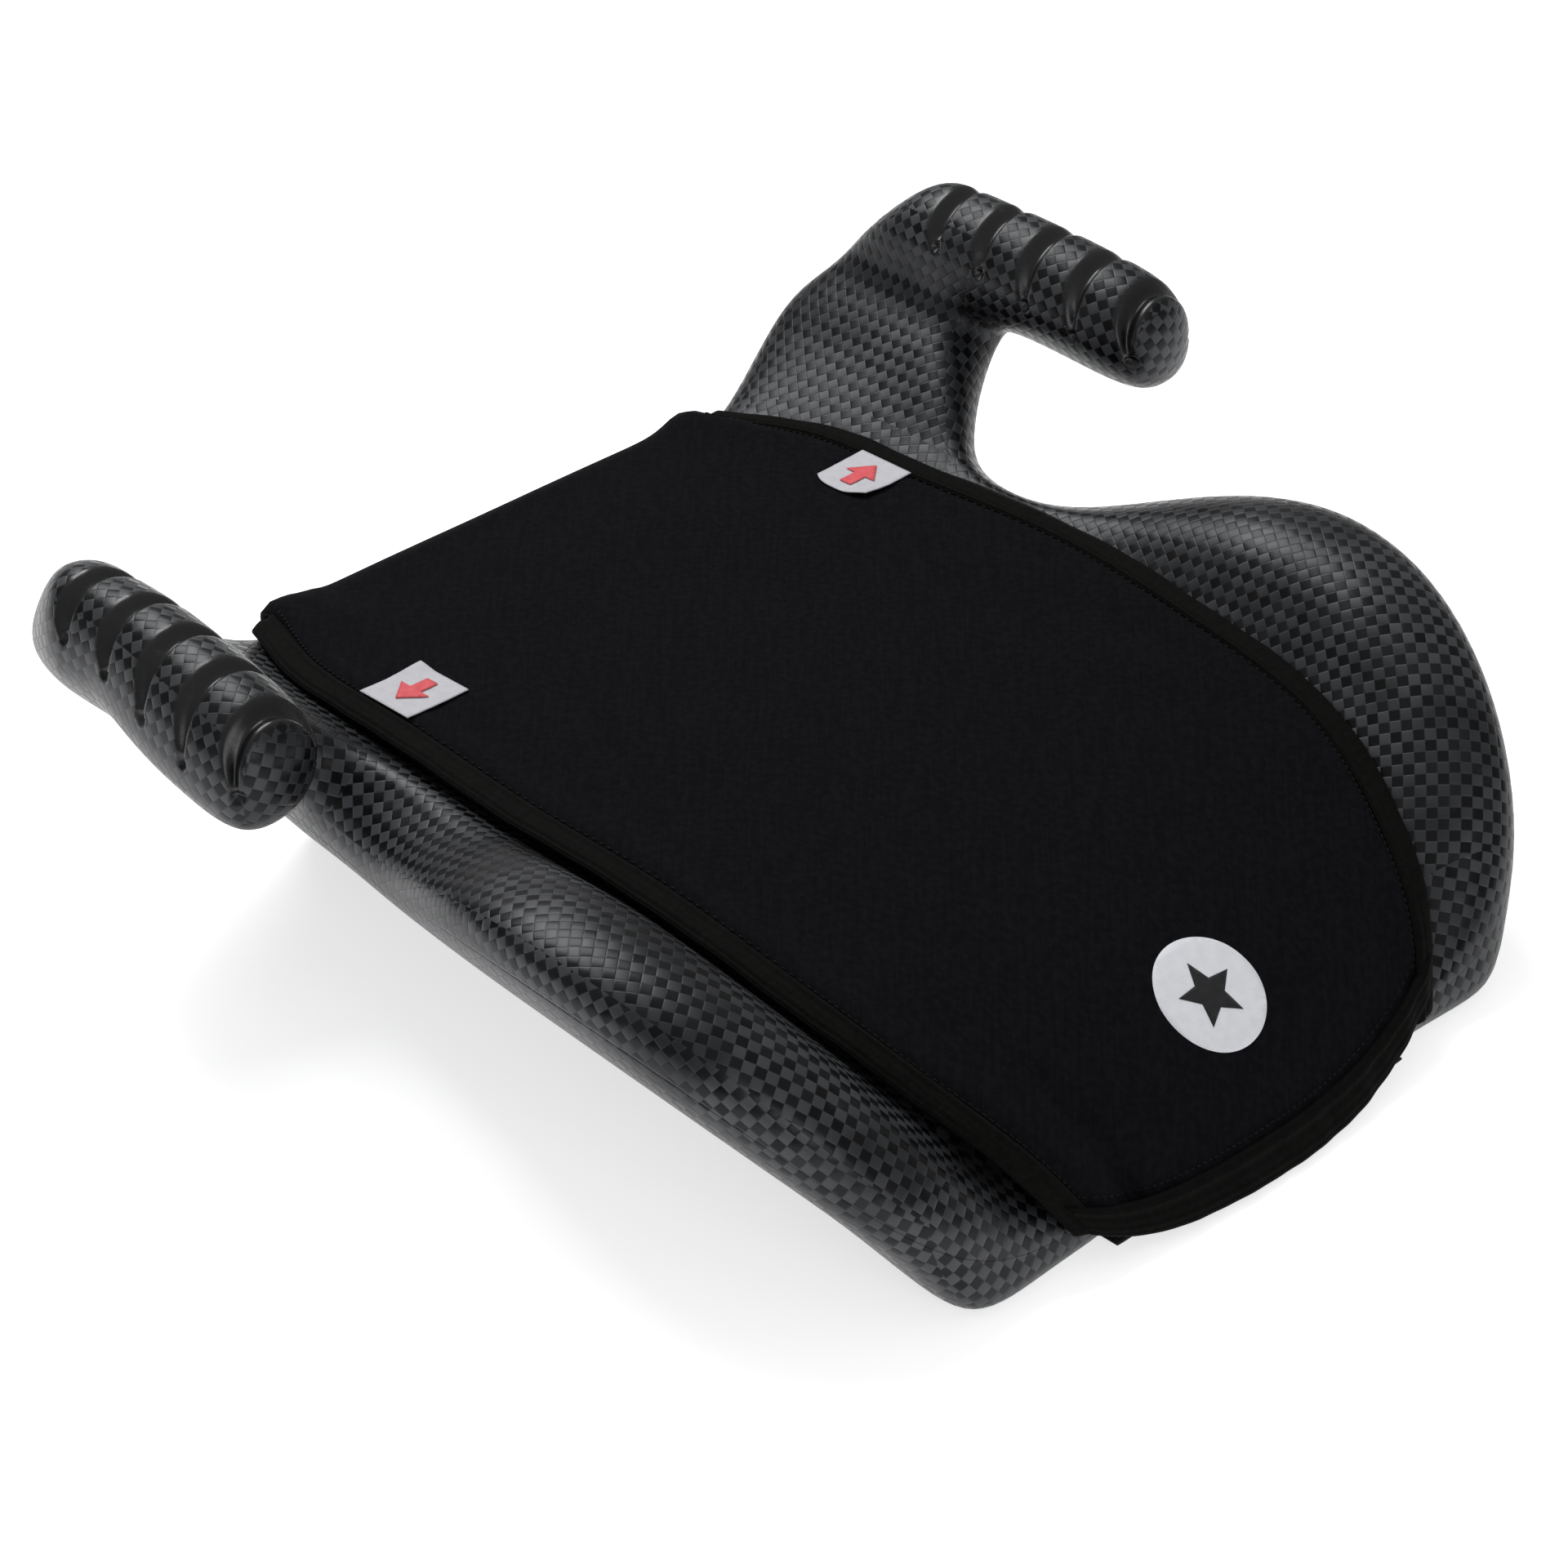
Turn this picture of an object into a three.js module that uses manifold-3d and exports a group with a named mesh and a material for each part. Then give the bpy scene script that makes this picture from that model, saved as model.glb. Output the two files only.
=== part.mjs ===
// Backless booster seat: a hollow blow-moulded shell with two grooved arm horns that guide the lap
// belt, and a padded fabric cover held on by elastic straps that cross the recessed underside.
// Millimetres, +Z up, +Y to the rear of the seat, +X to the sitter's left. The origin is on the
// floor under the middle of the seat.
import * as THREE from "three";
import { mergeVertices } from "three/addons/utils/BufferGeometryUtils.js";
import Module from "manifold-3d";

const wasm = await Module();
wasm.setup();

// ---- driving dimensions ----
const WALL = 3;               // blow-moulded wall
const POCKET_DEPTH = 4;       // recess in the underside that the straps lie in
const STRAP_X = 58;           // elastic straps, to each side of the middle
const STRAP_WIDTH = 20;
const STRAP_THICKNESS = 1.2;
const BINDING_WIDTH = 11;     // folded tape round the cover's edge
const BINDING_THICKNESS = 3.6;
const PANEL_THICKNESS = 2;    // top fabric of the cover
const PAD_THICKNESS = 7;      // foam under the top fabric
const LINING_THICKNESS = 0.8;
const GAP = 0.4;              // clearance between neighbouring pieces
const LABEL_SIZE = [25, 24];  // white belt-path label, across and along the seat
const LABEL_THICKNESS = 0.6;
const HORN_CENTRE_X = 196;    // arm horn's axis, to each side of the middle

const HDPE = { color: 0x1b1c1f, roughness: 0.42, metalness: 0 };
const FABRIC = { color: 0x121216, roughness: 0.95, metalness: 0 };
const TAPE = { color: 0x1d1c1a, roughness: 0.9, metalness: 0 };
const FOAM = { color: 0xcfc9b8, roughness: 1, metalness: 0 };
const ELASTIC = { color: 0x26262a, roughness: 0.9, metalness: 0 };
const WHITE = { color: 0xd8d8dc, roughness: 0.8, metalness: 0 };
const RED = { color: 0xe85a5f, roughness: 0.8, metalness: 0 };

const part = new THREE.Group();

function addNode(name, geometry, finish) {
  const mesh = new THREE.Mesh(geometry, new THREE.MeshStandardMaterial(finish));
  mesh.name = name;
  part.add(mesh);
  return mesh;
}

// ---- solids ----
function solidOf(geometry) {
  const bare = geometry.clone();
  bare.deleteAttribute("normal");
  bare.deleteAttribute("uv");
  const merged = mergeVertices(bare, 1e-4);
  return new wasm.Manifold(new wasm.Mesh({
    numProp: 3,
    vertProperties: new Float32Array(merged.attributes.position.array),
    triVerts: new Uint32Array(merged.index.array),
  }));
}

function geometryOf(solid) {
  const mesh = solid.getMesh();
  const geometry = new THREE.BufferGeometry();
  geometry.setAttribute("position", new THREE.BufferAttribute(mesh.vertProperties, 3));
  geometry.setIndex(new THREE.BufferAttribute(mesh.triVerts, 1));
  return geometry;
}

function geometryFrom(points, triangles) {
  const geometry = new THREE.BufferGeometry();
  geometry.setAttribute("position", new THREE.Float32BufferAttribute(points.flat(), 3));
  geometry.setIndex(triangles.flat());
  return geometry;
}

// A closed slab between two grids of points with the same rows and columns.
function slab(upper, lower) {
  const rows = upper.length;
  const columns = upper[0].length;
  const points = [...upper.flat(), ...lower.flat()];
  const top = (i, j) => i * columns + j;
  const bottom = (i, j) => rows * columns + top(i, j);
  const triangles = [];
  const quad = (a, b, c, d) => triangles.push([a, b, c], [a, c, d]);
  for (let i = 0; i + 1 < rows; i++) {
    for (let j = 0; j + 1 < columns; j++) {
      quad(top(i, j), top(i + 1, j), top(i + 1, j + 1), top(i, j + 1));
      quad(bottom(i, j), bottom(i, j + 1), bottom(i + 1, j + 1), bottom(i + 1, j));
    }
    quad(top(i, 0), bottom(i, 0), bottom(i + 1, 0), top(i + 1, 0));
    quad(top(i, columns - 1), top(i + 1, columns - 1), bottom(i + 1, columns - 1), bottom(i, columns - 1));
  }
  for (let j = 0; j + 1 < columns; j++) {
    quad(top(0, j), top(0, j + 1), bottom(0, j + 1), bottom(0, j));
    quad(top(rows - 1, j), bottom(rows - 1, j), bottom(rows - 1, j + 1), top(rows - 1, j + 1));
  }
  return geometryFrom(points, triangles);
}

// ---- seat shell: a control cage, smoothed by Catmull-Clark steps ----
// Each line runs round the right half of the shell at the same sixteen stations: rear centre, two
// along the rear, rear corner, three along the arm's foot, belt valley, wing rise, two on the wing,
// wing nose, front corner, two along the front, front centre.
const CAGE_LINES = [
  // inner edge of the floor rim
  [[0, 168, 0], [36, 168, 0], [72, 167, 0], [96, 162, 0], [99, 140, 0], [102, 114, 0], [104.5, 84, 0],
   [107.5, 50, 0], [110, 10, 0], [111.5, -38, 0], [113.5, -88, 0], [117, -138, 0], [125, -176, 0],
   [95, -174.5, 0], [47, -173, 0], [0, -172, 0]],
  // floor rim
  [[0, 172, 2], [38, 172, 2], [76, 171, 2], [104, 168, 2], [103.5, 142, 2], [106.5, 114, 2],
   [109, 84, 2], [112, 50, 2], [114.5, 10, 2], [116, -38, 2], [118, -88, 2], [122, -138, 2],
   [131, -182, 2], [98, -178.5, 2], [49, -177, 2], [0, -176, 2]],
  // foot, drawn in under the flare
  [[0, 175, 16], [40, 175, 16], [80, 174, 16], [110, 174, 18], [120, 146, 28], [127, 116, 32],
   [131, 84, 32], [135, 50, 32], [141, 10, 34], [150, -38, 42], [150, -88, 40], [146, -139, 32],
   [134, -182, 12], [99, -180.5, 7.5], [49, -179.5, 7.5], [0, -178.5, 7.5]],
  // lower edge of the flare
  [[0, 177, 30], [41, 177, 30], [82, 177, 30], [115, 181, 38], [137, 152, 46], [147, 118, 50],
   [153, 84, 56], [159, 50, 57], [176, 10, 74], [191, -38, 88], [190, -88, 83], [171, -139, 58],
   [136, -178, 24], [100, -179, 10.5], [50, -179.5, 10.5], [0, -179.5, 10.5]],
  // shoulder, the widest line
  [[0, 179, 45], [42, 179, 45], [84, 180, 45], [121, 187, 57], [140, 156, 66], [149, 118, 68],
   [155, 84, 70], [160, 50, 69], [176, 11, 91], [191, -37, 109], [189, -88, 107], [169, -139, 84],
   [139, -176, 36], [100, -178, 13], [50, -179, 13], [0, -179, 13.5]],
  // crest of the wing, or the rounded top edge
  [[0, 179, 60], [43, 179, 60], [86, 180, 61], [122, 187, 72], [139, 158, 84], [143, 118, 86],
   [143, 84, 83], [141, 50, 80], [149, 11, 93], [155, -37, 110], [155, -87, 107], [145, -133, 84],
   [132, -172, 46], [98, -176, 16], [50, -177, 15.5], [0, -178, 16]],
  // inner face of the wing
  [[0, 176, 69], [43, 176, 69], [86, 176, 71], [114, 177, 80], [130, 150, 90], [135, 117, 91],
   [136, 84, 88], [136, 50, 86], [139, 11, 90], [141, -36, 97], [140, -86, 92], [131, -131, 73],
   [119, -167, 44], [95, -170, 19], [50, -173, 19], [0, -174, 20]],
  // edge under the cover's binding
  [[0, 170, 73], [42, 170, 73], [84, 169, 75], [105, 165, 78], [119, 146, 82], [125, 116, 85], [128, 84, 85],
   [130, 50, 84], [132, 10, 84.5], [129.5, -35, 82], [126.5, -85, 74], [117, -128, 58], [100, -155, 33],
   [86, -161, 21], [46, -166, 22], [0, -167, 23]],
];
const REAR_CORNER = 3;
const FRONT_CORNER = 12;
const ARM_STATIONS = [3, 4, 5, 6];
const ARM_LINES = [4, 5, 6];   // shoulder, crest and inner face carry the arm
const SEAT_RECESS = 13;        // shell's seat below the cover's top surface
const TRAY_STEP = 12;          // from the edge under the binding in to the level seat
const FLOOR_BAND = 9;          // flat band that the shell stands on, inside its rim

// The arm's flange and the rear half of its horn, as levels up from the foot. Each level has its
// outer, middle and inner [x, z], its y at the four arm stations, and how far its outer side stops
// short of the rear.
const ARM_LEVELS = [
  { xz: [[160, 81], [155, 91], [148, 101]], y: [192, 155, 124, 97], trim: 4 },
  { xz: [[183, 93], [175, 103], [160, 112]], y: [191, 154, 132, 112], trim: 14 },
  { xz: [[207, 114], [194, 107], [174, 121]], y: [185, 151, 134, 120], trim: 34 },
  { xz: [[215, 132], [195, 132], [174, 136]], y: [172, 146, 131, 118], trim: 27 },
  { xz: [[209, 150.5], [196, 157.5], [179, 149.5]], y: [151, 139, 128, 117], trim: 3 },
];
// Horn section as eight offsets from its axis, in the same order as the front of the flange.
const HORN_SECTION = [
  [[19, -19], [0, -22.5], [-14, -14]],
  [[23.5, 0], [0, 0], [-22.5, 0]],
  [[15.5, 18.5], [0, 25.5], [-16.5, 16.5]],
];
// Horn forward of the flange: y, height of the axis, size of the section.
const HORN_STATIONS = [[92, 130.5, 1], [70, 128, 1], [53, 126, 0.97], [43, 124.5, 0.78]];
const HORN_TIP_Y = 39;
const HORN_SPLAY = 0.07;      // horns lean outward as they reach forward

class Cage {
  constructor() {
    this.points = [];
    this.faces = [];
    this.lookup = new Map();
  }
  index(point) {
    const key = point.map((value) => value.toFixed(3)).join();
    if (!this.lookup.has(key)) {
      this.lookup.set(key, this.points.length);
      this.points.push(point);
    }
    return this.lookup.get(key);
  }
  // a face and its mirror image in the middle plane
  quad(...corners) {
    this.faces.push(corners.map((corner) => this.index(corner)));
    const mirrored = corners.map(([x, y, z]) => [x === 0 ? 0 : -x, y, z]).reverse();
    this.faces.push(mirrored.map((corner) => this.index(corner)));
  }
}

// One Catmull-Clark step on a closed mesh of polygons.
function smoothStep({ points, faces }) {
  const sum = (list) => list.reduce((a, b) => [a[0] + b[0], a[1] + b[1], a[2] + b[2]], [0, 0, 0]);
  const scale = (point, factor) => point.map((value) => value * factor);
  const mean = (list) => scale(sum(list), 1 / list.length);
  const facePoints = faces.map((face) => mean(face.map((index) => points[index])));
  const edges = new Map();
  faces.forEach((face, f) => face.forEach((a, k) => {
    const b = face[(k + 1) % face.length];
    const key = a < b ? `${a},${b}` : `${b},${a}`;
    if (!edges.has(key)) edges.set(key, { ends: [a, b], faces: [] });
    edges.get(key).faces.push(f);
  }));
  const around = points.map(() => ({ faces: [], middles: [] }));
  const moved = [];
  for (const edge of edges.values()) {
    const ends = edge.ends.map((index) => points[index]);
    const middle = mean(ends);
    edge.ends.forEach((index) => around[index].middles.push(middle));
    edge.index = points.length + faces.length + moved.length;
    moved.push(mean([...ends, ...edge.faces.map((f) => facePoints[f])]));
  }
  faces.forEach((face, f) => face.forEach((index) => around[index].faces.push(facePoints[f])));
  const corners = points.map((point, index) => {
    const { faces: near, middles } = around[index];
    const n = near.length;
    return scale(sum([mean(near), scale(mean(middles), 2), scale(point, n - 3)]), 1 / n);
  });
  const quads = [];
  faces.forEach((face, f) => face.forEach((a, k) => {
    const edge = (p, q) => edges.get(p < q ? `${p},${q}` : `${q},${p}`).index;
    const next = face[(k + 1) % face.length];
    const before = face[(k + face.length - 1) % face.length];
    quads.push([a, edge(a, next), points.length + f, edge(before, a)]);
  }));
  return { points: [...corners, ...facePoints, ...moved], faces: quads };
}

// The cover's top surface as lines from the rear to the front hem: its middle line and its edge.
const COVER_MIDDLE = [[0, 175, 84.5], [0, 134, 85.5], [0, 85, 86], [0, 20, 86], [0, -38, 83.5], [0, -98, 72.5],
  [0, -136, 57], [0, -172, 33], [0, -196, 1.5]];
const COVER_EDGE = [[110, 174, 84], [124, 134, 88.6], [127, 85, 90], [131, 20, 90.6], [128.5, -38, 87.3],
  [125, -98, 77], [115, -136, 61], [99, -168, 38], [81, -186.5, 7]];
const curveThrough = (points) => new THREE.CatmullRomCurve3(points.map((p) => new THREE.Vector3(...p)));
const coverMiddle = curveThrough(COVER_MIDDLE);
const coverEdge = curveThrough(COVER_EDGE);

// A point of the cover's top surface: along from rear (0) to hem (1), across from -1 to 1.
function coverPoint(along, across, inset = 0) {
  const middle = coverMiddle.getPoint(along);
  const edge = coverEdge.getPoint(along);
  const reach = (edge.x - inset) * across;
  const share = (reach / edge.x) ** 2;
  return new THREE.Vector3(reach, THREE.MathUtils.lerp(middle.y, edge.y, share),
    THREE.MathUtils.lerp(middle.z, edge.z, share));
}

function coverNormal(along, across, inset = 0) {
  const step = 0.01;
  const from = Math.max(along - step, 0);
  const to = Math.min(along + step, 1);
  const forward = coverPoint(to, across, inset).sub(coverPoint(from, across, inset));
  const sideways = coverPoint(along, across + step, inset).sub(coverPoint(along, across - step, inset));
  return forward.cross(sideways).normalize();
}

// A layer of the cover between two depths under its top surface.
function coverLayer(depth, thickness, inset, start, end, rows, columns) {
  const grid = (below) => Array.from({ length: rows + 1 }, (_, i) => {
    const along = THREE.MathUtils.lerp(start, end, i / rows);
    return Array.from({ length: columns + 1 }, (_, j) => {
      const across = (2 * j) / columns - 1;
      return coverPoint(along, across, inset)
        .addScaledVector(coverNormal(along, across, inset), -below).toArray();
    });
  });
  return slab(grid(depth), grid(depth + thickness));
}

// Height of the shell's seat at a place on it, a fixed recess below the cover.
function seatHeight(x, y) {
  let low = 0;
  let high = 1;
  for (let pass = 0; pass < 20; pass++) {
    const middle = (low + high) / 2;
    if (coverMiddle.getPoint(middle).y > y) low = middle;
    else high = middle;
  }
  const edge = coverEdge.getPoint(low);
  return coverPoint(low, x / edge.x).z - SEAT_RECESS;
}

// A line moved in towards the middle of the seat, with a height for each of its points.
function stepIn(line, step, height) {
  return line.map(([x, y], station) => {
    const inX = x - (station >= REAR_CORNER && station <= FRONT_CORNER ? step : 0);
    const inY = y - (station <= REAR_CORNER ? step : 0) + (station >= FRONT_CORNER ? step : 0);
    return [inX, inY, height(inX, inY)];
  });
}

function shellCage() {
  const cage = new Cage();
  const floorBand = stepIn(CAGE_LINES[0], FLOOR_BAND, () => 0);
  const tray = stepIn(CAGE_LINES.at(-1), TRAY_STEP, seatHeight);
  const lines = [floorBand, ...CAGE_LINES, tray];
  const last = CAGE_LINES[0].length - 1;
  const isArm = (line, station) => ARM_LINES.slice(0, -1).includes(line - 1)
    && ARM_STATIONS.slice(0, -1).includes(station);
  for (let line = 0; line + 1 < lines.length; line++) {
    const [lower, upper] = [lines[line], lines[line + 1]];
    for (let s = 0; s < last; s++) {
      if (!isArm(line, s)) cage.quad(lower[s], upper[s], upper[s + 1], lower[s + 1]);
    }
  }
  // seat and underside: grids that meet the first and last line
  const across = REAR_CORNER;
  const grid = (ring, height) => (i, j) => {
    if (j === across) return ring[REAR_CORNER + i];
    if (i === 0) return ring[j];
    if (i === FRONT_CORNER - REAR_CORNER) return ring[last - j];
    const [x, y] = ring[REAR_CORNER + i];
    return [(x * j) / across, y, height((x * j) / across, y)];
  };
  const seat = grid(lines.at(-1), seatHeight);
  const underside = grid(lines[0], () => 0);
  for (let i = 0; i < FRONT_CORNER - REAR_CORNER; i++) {
    for (let j = 0; j < across; j++) {
      cage.quad(seat(i, j), seat(i + 1, j), seat(i + 1, j + 1), seat(i, j + 1));
      cage.quad(underside(i, j), underside(i, j + 1), underside(i + 1, j + 1), underside(i + 1, j));
    }
  }
  addArm(cage);
  return cage;
}

// The arm: a flange that grows out of the shell's top edge and ends in a horn that reaches forward.
function addArm(cage) {
  const foot = ARM_LINES.map((line) => ARM_STATIONS.map((station) => CAGE_LINES[line][station]));
  const front = ARM_STATIONS.length - 1;
  const levels = [(a, l) => foot[a][l]];
  ARM_LEVELS.forEach(({ xz, y, trim }) => levels.push((a, l) => {
    const outer = THREE.MathUtils.mapLinear(y[l], y[front], y[0], y[front], y[0] - trim);
    const bulge = l === 0 ? 5 : l === front ? -5 : 0;
    return [xz[a][0], [outer, y[l] + bulge, y[l]][a], xz[a][1]];
  }));
  const hornBase = levels.length - 3;
  for (let k = 0; k + 1 < levels.length; k++) {
    const [low, high] = [levels[k], levels[k + 1]];
    for (let l = 0; l < front; l++) {
      cage.quad(low(0, l), high(0, l), high(0, l + 1), low(0, l + 1));
      cage.quad(low(2, l), low(2, l + 1), high(2, l + 1), high(2, l));
    }
    for (let a = 0; a < 2; a++) {
      cage.quad(low(a, 0), low(a + 1, 0), high(a + 1, 0), high(a, 0));
      if (k < hornBase) cage.quad(low(a, front), high(a, front), high(a + 1, front), low(a + 1, front));
    }
  }
  const top = levels.at(-1);
  for (let l = 0; l < front; l++) {
    for (let a = 0; a < 2; a++) cage.quad(top(a, l), top(a + 1, l), top(a + 1, l + 1), top(a, l + 1));
  }
  // horn rings from the front of the flange to the tip, as three by three grids
  const rings = [(k, a) => levels[hornBase + k](a, front)];
  HORN_STATIONS.forEach(([y, z, size]) => rings.push((k, a) => {
    const [dx, dz] = HORN_SECTION[k][a];
    const axisX = HORN_CENTRE_X + (HORN_STATIONS[0][0] - y) * HORN_SPLAY;
    return [axisX + dx * size, y, z + dz * size];
  }));
  for (let r = 0; r + 1 < rings.length; r++) {
    const [back, fore] = [rings[r], rings[r + 1]];
    for (let k = 0; k < 2; k++) {
      cage.quad(back(k, 0), back(k + 1, 0), fore(k + 1, 0), fore(k, 0));
      cage.quad(back(k, 2), fore(k, 2), fore(k + 1, 2), back(k + 1, 2));
      cage.quad(back(0, k), fore(0, k), fore(0, k + 1), back(0, k + 1));
      cage.quad(back(2, k), back(2, k + 1), fore(2, k + 1), fore(2, k));
    }
  }
  const tip = rings.at(-1);
  const centre = [tip(1, 1)[0], HORN_TIP_Y - 3, tip(1, 1)[2]];
  const cap = (k, a) => (k === 1 && a === 1 ? centre : tip(k, a));
  for (let k = 0; k < 2; k++) {
    for (let a = 0; a < 2; a++) cage.quad(cap(k, a), cap(k + 1, a), cap(k + 1, a + 1), cap(k, a + 1));
  }
}

function shellSurface(inset) {
  const { points, faces } = smoothStep(shellCage());
  const triangles = faces.flatMap(([a, b, c, d]) => [[a, b, c], [a, c, d]]);
  const geometry = geometryFrom(points, triangles);
  if (inset > 0) {
    geometry.computeVertexNormals();
    const position = geometry.attributes.position;
    const normal = geometry.attributes.normal;
    const floor = POCKET_DEPTH + inset;
    for (let i = 0; i < position.count; i++) {
      position.setXYZ(i, position.getX(i) - normal.getX(i) * inset, position.getY(i) - normal.getY(i) * inset,
        Math.max(position.getZ(i) - normal.getZ(i) * inset, floor));
    }
  }
  return geometry;
}

function roundedBox(width, length, radius, depth) {
  const shape = new THREE.Shape();
  const [x, y] = [width / 2, length / 2];
  shape.absarc(x - radius, y - radius, radius, 0, Math.PI / 2);
  shape.absarc(radius - x, y - radius, radius, Math.PI / 2, Math.PI);
  shape.absarc(radius - x, radius - y, radius, Math.PI, 1.5 * Math.PI);
  shape.absarc(x - radius, radius - y, radius, 1.5 * Math.PI, 2 * Math.PI);
  return new THREE.ExtrudeGeometry(shape, { depth, bevelEnabled: false, curveSegments: 4 });
}

const POCKET_SIZE = [180, 300];
const POCKET_RADIUS = 30;
const POCKET_Y = -6;
const CHANNEL_WIDTH = STRAP_WIDTH + 6;   // recess across the rims for each strap
const CHANNEL_LENGTH = 420;
const CUT_BELOW = 10;
const BLOW_HOLE_RADIUS = 6;
const BLOW_HOLE_LENGTH = 30;
function seatShell() {
  const cutDepth = POCKET_DEPTH + CUT_BELOW;
  const pocket = roundedBox(...POCKET_SIZE, POCKET_RADIUS, cutDepth).translate(0, POCKET_Y, -CUT_BELOW);
  const channel = new THREE.BoxGeometry(CHANNEL_WIDTH, CHANNEL_LENGTH, cutDepth)
    .translate(0, 0, (POCKET_DEPTH - CUT_BELOW) / 2);
  const blowHole = new THREE.CylinderGeometry(BLOW_HOLE_RADIUS, BLOW_HOLE_RADIUS, BLOW_HOLE_LENGTH, 20)
    .rotateX(Math.PI / 2);
  let shell = solidOf(shellSurface(0)).subtract(solidOf(pocket));
  for (const side of [-1, 1]) {
    shell = shell.subtract(solidOf(channel.clone().translate(side * STRAP_X, 0, 0)));
  }
  shell = shell.subtract(solidOf(shellSurface(WALL)));
  return geometryOf(shell.subtract(solidOf(blowHole)));
}
addNode("seat_shell", seatShell(), HDPE);

// ---- padded cover: lining, foam and top fabric ----
const PANEL_INSET = BINDING_WIDTH + GAP;
const PAD_DEPTH = PANEL_THICKNESS + GAP;
const LINING_DEPTH = PAD_DEPTH + PAD_THICKNESS + GAP;
const LINING_INSET = 26;
const PAD_INSET = 23;
addNode("cover_lining", coverLayer(LINING_DEPTH, LINING_THICKNESS, LINING_INSET, 0.08, 0.8, 14, 8), FABRIC);
addNode("foam_pad", coverLayer(PAD_DEPTH, PAD_THICKNESS, PAD_INSET, 0.06, 0.86, 16, 8), FOAM);
addNode("cover_seat_panel", coverLayer(0, PANEL_THICKNESS, PANEL_INSET, 0, 0.96, 24, 12), FABRIC);

// ---- binding tape round the cover, a flat oval folded over its edge ----
function sideBinding(side) {
  const rows = 32;
  const columns = 4;
  const grid = (half) => Array.from({ length: rows + 1 }, (_, i) => (
    Array.from({ length: columns + 1 }, (_, j) => {
      const share = side > 0 ? 1 - j / columns : j / columns;
      const inset = BINDING_WIDTH * share;
      const swell = 0.35 + 0.65 * Math.sin(Math.PI * share);
      const offset = half * (BINDING_THICKNESS / 2) * swell - PANEL_THICKNESS / 2;
      return coverPoint(i / rows, side, inset).addScaledVector(coverNormal(i / rows, side, inset), offset)
        .toArray();
    })));
  return slab(grid(1), grid(-1));
}
addNode("cover_binding_left", sideBinding(-1), TAPE);
addNode("cover_binding_right", sideBinding(1), TAPE);
addNode("cover_binding_front", coverLayer(-0.5, BINDING_THICKNESS - 0.6, PANEL_INSET, 0.964, 1, 2, 14), TAPE);

// ---- rear flap: the cover carries on over the shell's rear edge, down to an elastic hem ----
const FLAP_HALF_WIDTH = 96;
const FLAP_PROFILE = [[176.3, 84], [180.9, 81.5], [183.5, 76], [185, 67], [185.4, 54]];
function rearSheet(profile, halfWidth, thickness) {
  const curve = new THREE.CatmullRomCurve3(profile.map(([y, z]) => new THREE.Vector3(0, y, z)));
  const rows = 8;
  const grid = (depth) => Array.from({ length: rows + 1 }, (_, i) => {
    const point = curve.getPoint(1 - i / rows);
    const tangent = curve.getTangent(1 - i / rows);
    return [-halfWidth, 0, halfWidth].map((x) => [x, point.y + tangent.z * depth, point.z - tangent.y * depth]);
  });
  return slab(grid(0), grid(thickness));
}
addNode("cover_rear_flap", rearSheet(FLAP_PROFILE, FLAP_HALF_WIDTH, PANEL_THICKNESS), FABRIC);
addNode("cover_rear_hem", rearSheet([[186, 53.5], [186.2, 48], [186, 43]], FLAP_HALF_WIDTH, 3), TAPE);

// ---- belt-path labels with their printed arrows ----
const LABEL_Y = 97.5;
const LABEL_X = 102.8;
const LABEL_Z = 91.2;
const LABEL_TILT = 0.075;
function placeOnLabel(mesh, side, lift) {
  mesh.position.set(side * LABEL_X, LABEL_Y, LABEL_Z + lift);
  mesh.rotation.y = side * LABEL_TILT;
}
function arrowShape() {
  const points = [[-8, -3], [0, -3], [0, -7], [8, 0], [0, 7], [0, 3], [-8, 3]];
  return new THREE.Shape(points.map(([x, y]) => new THREE.Vector2(x, y)));
}
for (const [name, side] of [["left", -1], ["right", 1]]) {
  placeOnLabel(addNode(`belt_label_${name}`, new THREE.BoxGeometry(...LABEL_SIZE, LABEL_THICKNESS), WHITE), side, 0);
  const arrow = new THREE.ExtrudeGeometry(arrowShape(), { depth: 0.2, bevelEnabled: false });
  if (side < 0) arrow.rotateZ(Math.PI);
  placeOnLabel(addNode(`belt_arrow_${name}`, arrow, RED), side, LABEL_THICKNESS / 2 + 0.3);
}

// ---- round badge printed near the front edge, with a plain star ----
const BADGE_RADIUS = 20;
const BADGE_ALONG = 0.815;
const BADGE_ACROSS = 0.036;
const STAR_RADII = [12, 5.5];
function placeBadge(mesh, lift) {
  const normal = coverNormal(BADGE_ALONG, BADGE_ACROSS);
  mesh.position.copy(coverPoint(BADGE_ALONG, BADGE_ACROSS)).addScaledVector(normal, lift);
  mesh.quaternion.setFromUnitVectors(new THREE.Vector3(0, 0, 1), normal);
}
const badge = new THREE.CylinderGeometry(BADGE_RADIUS, BADGE_RADIUS, 0.5, 40).rotateX(Math.PI / 2);
placeBadge(addNode("badge_print", badge, WHITE), 1.6);
const star = new THREE.Shape(Array.from({ length: 10 }, (_, i) => {
  const angle = Math.PI / 2 + (i * Math.PI) / 5;
  const radius = STAR_RADII[i % 2];
  return new THREE.Vector2(radius * Math.cos(angle), radius * Math.sin(angle));
}));
placeBadge(addNode("badge_star", new THREE.ExtrudeGeometry(star, { depth: 0.2, bevelEnabled: false }), FABRIC), 2.2);

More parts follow.
